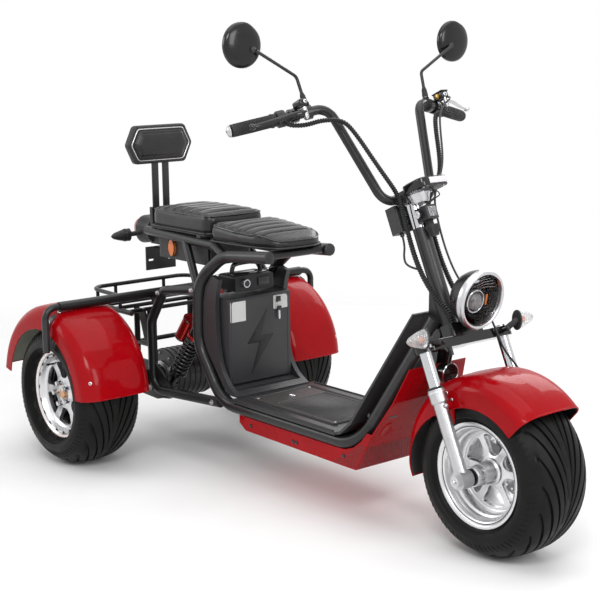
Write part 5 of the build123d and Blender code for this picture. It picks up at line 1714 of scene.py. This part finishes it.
def deck_trim():
    top = 0.2566
    piece = Piece("deck_trim", "frame", "deck_black")
    for sides, lift, radius in (((0.546, 0.924, -0.112, 0.112), 0.0004, 0.0024),
            ((0.64, 0.912, -0.098, 0.098), 0.0002, 0.0017)):
        rim = rounded_outline(corners(*sides), 0.012, 8)
        edge = [along(x, y, top + lift) for x, y in smooth_line(rim + rim[:1], 2)]
        piece.tube(edge, radius, deck_black, 8, ends=False)
    # fine swept ridges
    for k in range(44):
        first = 0.646 + 0.0061 * k
        line = []
        for i in range(31):
            y = -0.0955 + 0.191 * i / 30
            bend = 0.026 * math.sin(math.pi * (y + 0.0955) / 0.191 * 1.35 + 0.4) * (0.55
                + 0.45 * math.sin(k * 0.16))
            x = first + bend
            if 0.643 < x < 0.909:
                line.append(along(x, y, top + 0.0001))
        if len(line) > 3:
            piece.tube(line, 0.00105, plastic_black, 5, ends=False)
    # outer board: a raised lip and a long step at each side
    for side in (-1, 1):
        for back, ahead, y, z, radius, mat, round_sides in (
            (0.512, 0.974, 0.16, 0.2549, 0.003, frame_black, 8),
            (0.535, 0.94, 0.1245, 0.2546, 0.0016, deck_black, 6),
        ):
            a, b = along(back, side * y, z), along(ahead, side * y, z)
            piece.tube([a, (a + b) / 2, b], radius, mat, round_sides)
    for x in (0.556, 0.914):
        for y in (-0.102, 0.102):
            piece.screw(along(x, y, top), Z_AXIS, 0.0048, 0.002)
    piece.lathe(mm((12.5, 0), (12.5, 1.4), (10.5, 2.4), (7.5, 2.4), (6.8, 1), (0, 1)),
        along(0.598, -0.005, top), Z_AXIS, chrome, 36)
    piece.done(30)


def fairing_trim():
    piece = Piece("fairing_trim", "frame", "gloss_black")
    for side in (-1, 1):
        face = side * 0.156
        for x, z in ((0.588, 0.186), (0.79, 0.182), (0.806, 0.182), (1.012, 0.19), (1.12, 0.33)):
            piece.lathe(mm((6.2, 0), (6, 1.6), (4.6, 2), (3.6, 0.8), (0, 0.8)), along(x, face, z),
                (0, side, 0), gloss_black, 24)
    # the pierced front of the belly
    hole = mm((0, 0.5), (1.9, 0.4), (2.1, -0.2))
    low, high = along(1.064, 0, 0.16), along(1.108, 0, 0.238)
    rise = (high - low).normalized()
    out = Vector((rise.z, 0, -rise.x))
    for row in range(13):
        for column in range(48):
            y = -0.1475 + 0.00615 * column + (0.003 if row % 2 else 0.0)
            spot = low + rise * (0.006 + 0.0062 * row) + Y_AXIS * y + out * 0.0001
            piece.lathe(hole, spot, out, gloss_black, 6)
    for side in (-1, 1):
        for row in range(12):
            z = 0.166 + row * 0.0062
            ahead = 1.064 + (z - 0.16) / 0.078 * 0.044
            for column in range(15 - row):
                x = ahead - 0.007 - 0.0062 * column
                piece.lathe(hole, along(x, side * 0.156, z), (0, side, 0), gloss_black, 6)
    piece.done()
    # a pressed oval and a slot above it
    badge = Piece("fairing_badge", "frame", "red_paint")
    low, high = along(1.108, 0, 0.238), along(1.157, 0, 0.32)
    rise = (high - low).normalized()
    out = Vector((rise.z, 0, -rise.x))
    centre = low + rise * 0.048 + Y_AXIS * -0.104
    rows = []
    for scale, lift in ((1.0, -0.0002), (0.96, 0.0016), (0.86, 0.0024), (0.7, 0.0012),
            (0.0, 0.001)):
        rows.append(hoop(centre + out * lift, Y_AXIS * (0.021 * scale), rise * (0.03 * scale), 40))
    badge.grid(rows, paint_red)
    slot = rounded_outline(corners(-0.016, 0.016, -0.0035, 0.0035), 0.0034, 5)
    badge.slab(slot, -0.0004, 0.0005, centre + rise * 0.052, (Y_AXIS, rise, out), gloss_black,
        0.0002, 1)
    badge.done()


battery_trim()
deck_trim()
fairing_trim()


# ---------------------------------------------------------------- shocks, tail and frame fittings
SHOCK_LOW = along(0.094, 0, 0.214)
SHOCK_HIGH = along(0.288, 0, 0.462)


def shocks():
    way = (SHOCK_HIGH - SHOCK_LOW).normalized()
    behind = Y_AXIS.cross(way) * -1
    if behind.x > 0:
        behind = -behind
    piece = Piece("shock_coils", "frame", "gloss_black", ("shock_springs",))
    trim = Piece("shock_trim", "frame", "red_anodised")
    for side in (-1, 1):
        foot = SHOCK_LOW + Y_AXIS * (side * 0.108)
        line = []
        coils, low, high = 9, 0.0825, 0.2315
        count = coils * 26
        for i in range(count + 1):
            a = 2 * math.pi * coils * i / count
            rise = low + (high - low) * i / count
            line.append(foot + way * rise + Y_AXIS * 0.024 * math.cos(a) + behind * 0.024
                * math.sin(a))
        piece.tube(line, 0.0045, gloss_black, 10)
        for at in (0.0785, 0.2335):
            ring = hoop(foot + way * at, Y_AXIS * 0.024, behind * 0.024, 26)
            piece.tube(ring, 0.004, gloss_black, 8, ends=False)
        trim.lathe(mm((26.6, 236.6), (28.4, 237.2), (28.4, 248), (26.6, 248.6)), foot, way,
            red_anodised, 48)
        for a in turns(24):
            out = Y_AXIS * math.cos(a) + behind * math.sin(a)
            spot = foot + way * 0.2426 + out * 0.0284
            size = (0.0016, 0.003, 0.009)
            trim.block(spot, size, red_anodised, axes_of(way, out), 0.0005, 1)
        tank = foot + behind * 0.054
        for at in (0.1765, 0.26):
            trim.lathe([(0.0228, at), (0.024, at + 0.0012), (0.024, at + 0.0045),
                (0.0228, at + 0.0056)], tank, way, gloss_black, 44)
        trim.screw(tank + way * 0.1762, -way, 0.005, 0.003)
        for end in (SHOCK_LOW, SHOCK_HIGH):
            eye = end + Y_AXIS * (side * 0.108)
            for turn in (-1, 1):
                trim.lathe(mm((9, 0), (13.5, 0.6), (14.2, 2), (13.5, 3.2), (0, 3.6)),
                    eye + Y_AXIS * turn * 0.0162, Y_AXIS * turn, gloss_black, 28)
    piece.done()
    trim.done()


def tail():
    piece = Piece("rear_indicator_cones", "frame", "black_plastic", ("rear_indicators",))
    for side in (-1, 1):
        piece.tube([along(-0.152, side * 0.0531, 0.692), along(-0.1525, side * 0.075, 0.6915),
            along(-0.154, side * 0.0975, 0.69)], [0.007, 0.0066, 0.0078], plastic_black, 18)
        for k in range(4):
            piece.lathe(mm((6.2, -1.8), (8.6, -1), (8.6, 1), (6.2, 1.8)), along(-0.1525,
                side * (0.066 + 0.0065 * k), 0.6915), (0, side, 0), plastic_black, 20)
        base = along(-0.154, side * 0.096, 0.69)
        arrow_lens(piece, base, side, plastic_black, 0.072, 0.017, 0.022)
        for t, grow in ((0.22, 1.05), (0.3, 1.04)):
            rx, rz = arrow_section(0.017, 0.022, t)
            middle = base + Y_AXIS * (side * 0.072 * t)
            ring = hoop(middle, X_AXIS * (rx * grow), Z_AXIS * (rz * grow), 32)
            piece.tube(ring, 0.0009, gloss_black, 6, ends=False)
    piece.done()

    trim = Piece("tail_trim", "frame", "steel")
    for side in (-1, 1):
        trim.screw(along(-0.2008, side * 0.026, 0.7), (-1, 0, 0), 0.0034, 0.0018)
        for z in (0.672, 0.705):
            trim.nut(along(-0.024 - 0.0028, side * 0.018, z), (-1, 0, 0), 0.0052, 0.005)
        for z in (0.748, 0.722):
            trim.nut(along(-0.104, side * 0.033, z), (-1, 0, 0), 0.0055, 0.005)
        # bezels of the side reflectors, moulded in facets
        centre = along(0.096, side * 0.0963, 0.672)
        ring = hoop(centre, X_AXIS * 0.0182, Z_AXIS * 0.0282, 48)
        trim.tube(ring, 0.0017, plastic_black, 8, ends=False)
        for k in range(7):
            for j in range(11):
                x, z = -0.0144 + 0.0048 * k, -0.024 + 0.0048 * j
                if (x / 0.0155) ** 2 + (z / 0.025) ** 2 < 1:
                    trim.lathe([(0.0024, 0.0), (0.0, 0.0012)], centre + Vector((x, 0, z)),
                        (0, side, 0), amber_lens, 6)
    trim.done()
    # ribs round the motor housing on the rear axle
    drum = Piece("motor_housing_ribs", "frame", "frame_black")
    axle = Vector((REAR_X, 0, AXLE_Z))
    for y in (-0.066, -0.044, -0.022, 0.0, 0.022, 0.044, 0.066):
        drum.lathe([(0.0836, y - 0.003), (0.087, y - 0.0022), (0.087, y + 0.0022),
            (0.0836, y + 0.003)], axle, Y_AXIS, frame_black, 72)
    for side in (-1, 1):
        for a in turns(8):
            spot = axle + ray(a + 0.2) * 0.072 + Y_AXIS * (side * 0.08)
            drum.screw(spot, (0, side, 0), 0.0048, 0.0042)
        drum.lathe(mm((46, 80), (46, 86), (40, 90), (36, 90)), axle, (0, side, 0), cast_aluminium,
            56)
    drum.done()


def fork_trim():
    piece = Piece("fork_trim", "steering", "cast_aluminium")
    for side in (-1, 1):
        foot = on_column(0.032, side * FORK_HALF, 0)
        piece.lathe(mm((16.3, 240), (21.2, 240.2), (21.2, 244), (19, 246.2), (16.3, 246.6)), foot,
            column_z, grip_rubber, 48)
        piece.lathe(mm((22.6, 229), (23.8, 230), (23.8, 234.5), (22.6, 235.5)), foot, column_z,
            polished_rim, 48)
        piece.lathe([(0.0181, 0.201), (0.0226, 0.2062)], foot, column_z, cast_aluminium, 48)
        for rise in (0.06, 0.11):
            piece.lathe([(0.0181, rise), (0.0186, rise + 0.0006), (0.0186, rise + 0.0016),
                (0.0181, rise + 0.0022)], foot, column_z, cast_aluminium, 40)
        out = Y_AXIS * side
        axle = Vector((FRONT_X, side * 0.1672, AXLE_Z))
        piece.lathe(mm((15, 0), (15, 1.2), (0, 1.2)), axle + out * 0.0095, out, turned_steel, 32)
        piece.lathe(mm((6.2, 10), (6.4, 15), (4.5, 17.2), (0, 17.8)), axle, out, chrome, 28)
        top = on_column(0.032, side * FORK_HALF, 0.3692)
        piece.lathe(mm((15.2, -1), (15.2, 0.8), (12, 2.2), (0, 2.6)), top, column_z, chrome, 36)
        piece.lathe([(0.0046, 0.0024), (0.0, 0.002)], top, column_z, gloss_black, 6)
        # pinch bolts at the crown's ends and a stud on the leg's bracket
        piece.screw(on_column(0.0595, side * 0.1475, 0.351), column_x, 0.0052, 0.0045)
        stud = on_column(0.05, side * FORK_HALF, 0.193)
        piece.nut(stud, column_x, 0.0058, 0.006)
    # the crown's upper edges, traced with thin silver strips: a painted highlight along the gloss
    # black crown
    for side in (-1, 1):
        line = ((0.0615, 0.062), (0.0615, 0.096), (0.0612, 0.13))
        piece.tube([on_column(x, side * y, 0.3641) for x, y in line], 0.0009, satin_silver, 6)
    # horn mouth and grille
    mouth = on_column(-0.052, 0, 0.279)
    way = (mouth - on_column(-0.076, 0, 0.29)).normalized()
    piece.lathe(mm((28.2, -5), (29.4, -3), (29.4, 1.2), (27.6, 2.6), (26.2, 0.6)), mouth, way,
        chrome, 56)
    for k in range(3):
        r = 0.0066 * (k + 1)
        piece.lathe([(r - 0.0014, 0.0002), (r, 0.0014), (r + 0.0014, 0.0002)], mouth, way,
            gloss_black, 44)
    piece.done()


def frame_bolts():
    piece = Piece("frame_bolts", "frame", "steel")
    caps = Piece("frame_end_caps", "frame", "black_plastic")
    for side in (-1, 1):
        out = Y_AXIS * side
        for x, z in ((0.05, 0.206), (0.11, 0.532), (0.395, 0.2225), (0.3, 0.5655)):
            spot = along(x, side * 0.159, z)
            piece.rod(spot, spot + out * 0.0035, 0.0105, frame_black, 28)
            piece.nut(spot + out * 0.0034, out, 0.0068, 0.0062)
        for x, z in ((-0.03, 0.184), (-0.03, 0.278), (0.128, 0.206), (0.036, 0.276)):
            piece.nut(along(x, side * 0.149, z), out, 0.0062, 0.0056)
        end = along(0.64, side * 0.118, 0.704)
        way = (end - along(0.44, side * 0.138, 0.688)).normalized()
        caps.lathe(mm((19, -0.2), (19.4, 1), (18.8, 3.4), (15, 5.2), (0, 5.8)), end, way,
            plastic_black, 40)
        end = along(-0.02, side * 0.11, 0.721)
        caps.lathe(mm((14, -0.2), (14.4, 1), (13.6, 3.2), (0, 4.6)), end, (-1, 0, 0.034),
            plastic_black, 36)
    piece.done()
    caps.done()


shocks()
tail()
fork_trim()
frame_bolts()

soften_edges(["battery_box", "battery_shroud", "battery_lock", "footboard", "deck_mat",
    "leg_shield", "seat_tray", "seat_pan", "tail_lamp", "plate_bracket", "fork_crown", "bar_clamp",
    "column_fittings", "front_caliper", "rear_calipers", "lower_fairing"], 0.0016)
soften_edges(["backrest_posts", "side_reflectors", "tail_lens", "front_axle"], 0.0009)


# ---------------------------------------------------------------- floor, light and camera
def pale_floor():
    """A pale floor that thins out into the white backdrop away from the scooter."""
    mesh = bpy.data.meshes.new("floor")
    square = [(x, y, 0) for x, y in corners(-6, 6, -6, 6)]
    mesh.from_pydata(square, [], [(0, 1, 2, 3)])
    floor = add_object("floor", mesh)
    mat, tree, shader = new_material("pale_floor", {"Roughness": 0.75})
    set_inputs(tree, shader, {"Base Color": ramp(tree, noise(tree, 2.5, 6), 0.9, 0.94)})
    spread = add_node(
        tree, "TexGradient", {"Vector": coords(tree, 1 / 3.4)}, gradient_type="SPHERICAL"
    )
    clear = add_node(tree, "BsdfTransparent", {})
    blend = add_node(tree, "MixShader", {
        0: ramp(tree, spread.outputs["Fac"], 0.0, 1.0, 0.04, 0.5), 1: clear.outputs[0],
        2: shader.outputs[0],
    })
    output = next(n for n in tree.nodes if n.type == "OUTPUT_MATERIAL")
    set_inputs(tree, output, {"Surface": blend.outputs[0]})
    mesh.materials.append(mat)


def white_world():
    """Soft white light; seen directly, mirrored or through glass it is a white backdrop."""
    world = bpy.data.worlds.new("studio")
    world.use_nodes = True
    bpy.context.scene.world = world
    tree = world.node_tree
    light = next(n for n in tree.nodes if n.type == "BACKGROUND")
    set_inputs(tree, light, {"Color": (1, 1, 1, 1), "Strength": 0.46})
    backdrop = add_node(tree, "Background", {"Color": (1, 1, 1, 1), "Strength": 1.0})
    path = add_node(tree, "LightPath", {})
    seen = path.outputs["Is Camera Ray"]
    for ray_type in ("Is Transmission Ray", "Is Glossy Ray"):
        either = {0: seen, 1: path.outputs[ray_type]}
        seen = add_node(tree, "Math", either, operation="MAXIMUM").outputs[0]
    pick = add_node(tree, "MixShader", {0: seen, 1: light.outputs[0], 2: backdrop.outputs[0]})
    output = next(n for n in tree.nodes if n.type == "OUTPUT_WORLD")
    set_inputs(tree, output, {"Surface": pick.outputs[0]})


def lamps():
    for name, place, aim, width, height, watts in (
        ("key", (2.6, -2.4, 3.2), (0, 0, 0.4), 1.5, 1.1, 62),
        ("fill", (-2.8, -2.8, 2.2), (-0.1, 0, 0.5), 1.6, 1.6, 30),
        ("back", (-1.0, 3.4, 2.8), (0, 0, 0.5), 2.4, 1.2, 40),
        ("front", (4.0, 0.2, 2.2), (0.2, 0, 0.6), 1.4, 1.8, 48),
        ("top", (0, 0, 5.0), (0, 0, 0), 5.0, 5.0, 110),
    ):
        data = bpy.data.lights.new(name, "AREA")
        data.shape = "RECTANGLE"
        data.size = width
        data.size_y = height
        data.energy = watts
        item = add_object(name, data)
        item.location = place
        item.rotation_euler = (Vector(aim) - Vector(place)).to_track_quat("-Z", "Y").to_euler()


def photo_camera():
    """The camera that sees the scooter from its right front."""
    data = bpy.data.cameras.new("photo_camera")
    data.lens = 83.76
    data.sensor_width = 36
    camera = add_object("photo_camera", data)
    yaw, pitch, roll = 2.4529, -0.1895, -0.0122
    forward = Vector(
        (math.cos(yaw) * math.cos(pitch), math.sin(yaw) * math.cos(pitch), math.sin(pitch))
    )
    right = forward.cross(Z_AXIS).normalized()
    up = right.cross(forward)
    rolled_right = right * math.cos(roll) + up * math.sin(roll)
    rolled_up = up * math.cos(roll) - right * math.sin(roll)
    turn = Matrix((rolled_right, rolled_up, -forward)).transposed()
    camera.matrix_world = Matrix.Translation((3.8427 + REAR_X, -2.6371, 1.358)) @ turn.to_4x4()
    data.clip_end = 100
    bpy.context.scene.camera = camera


pale_floor()
white_world()
lamps()
photo_camera()
bpy.context.scene.view_settings.view_transform = "Standard"
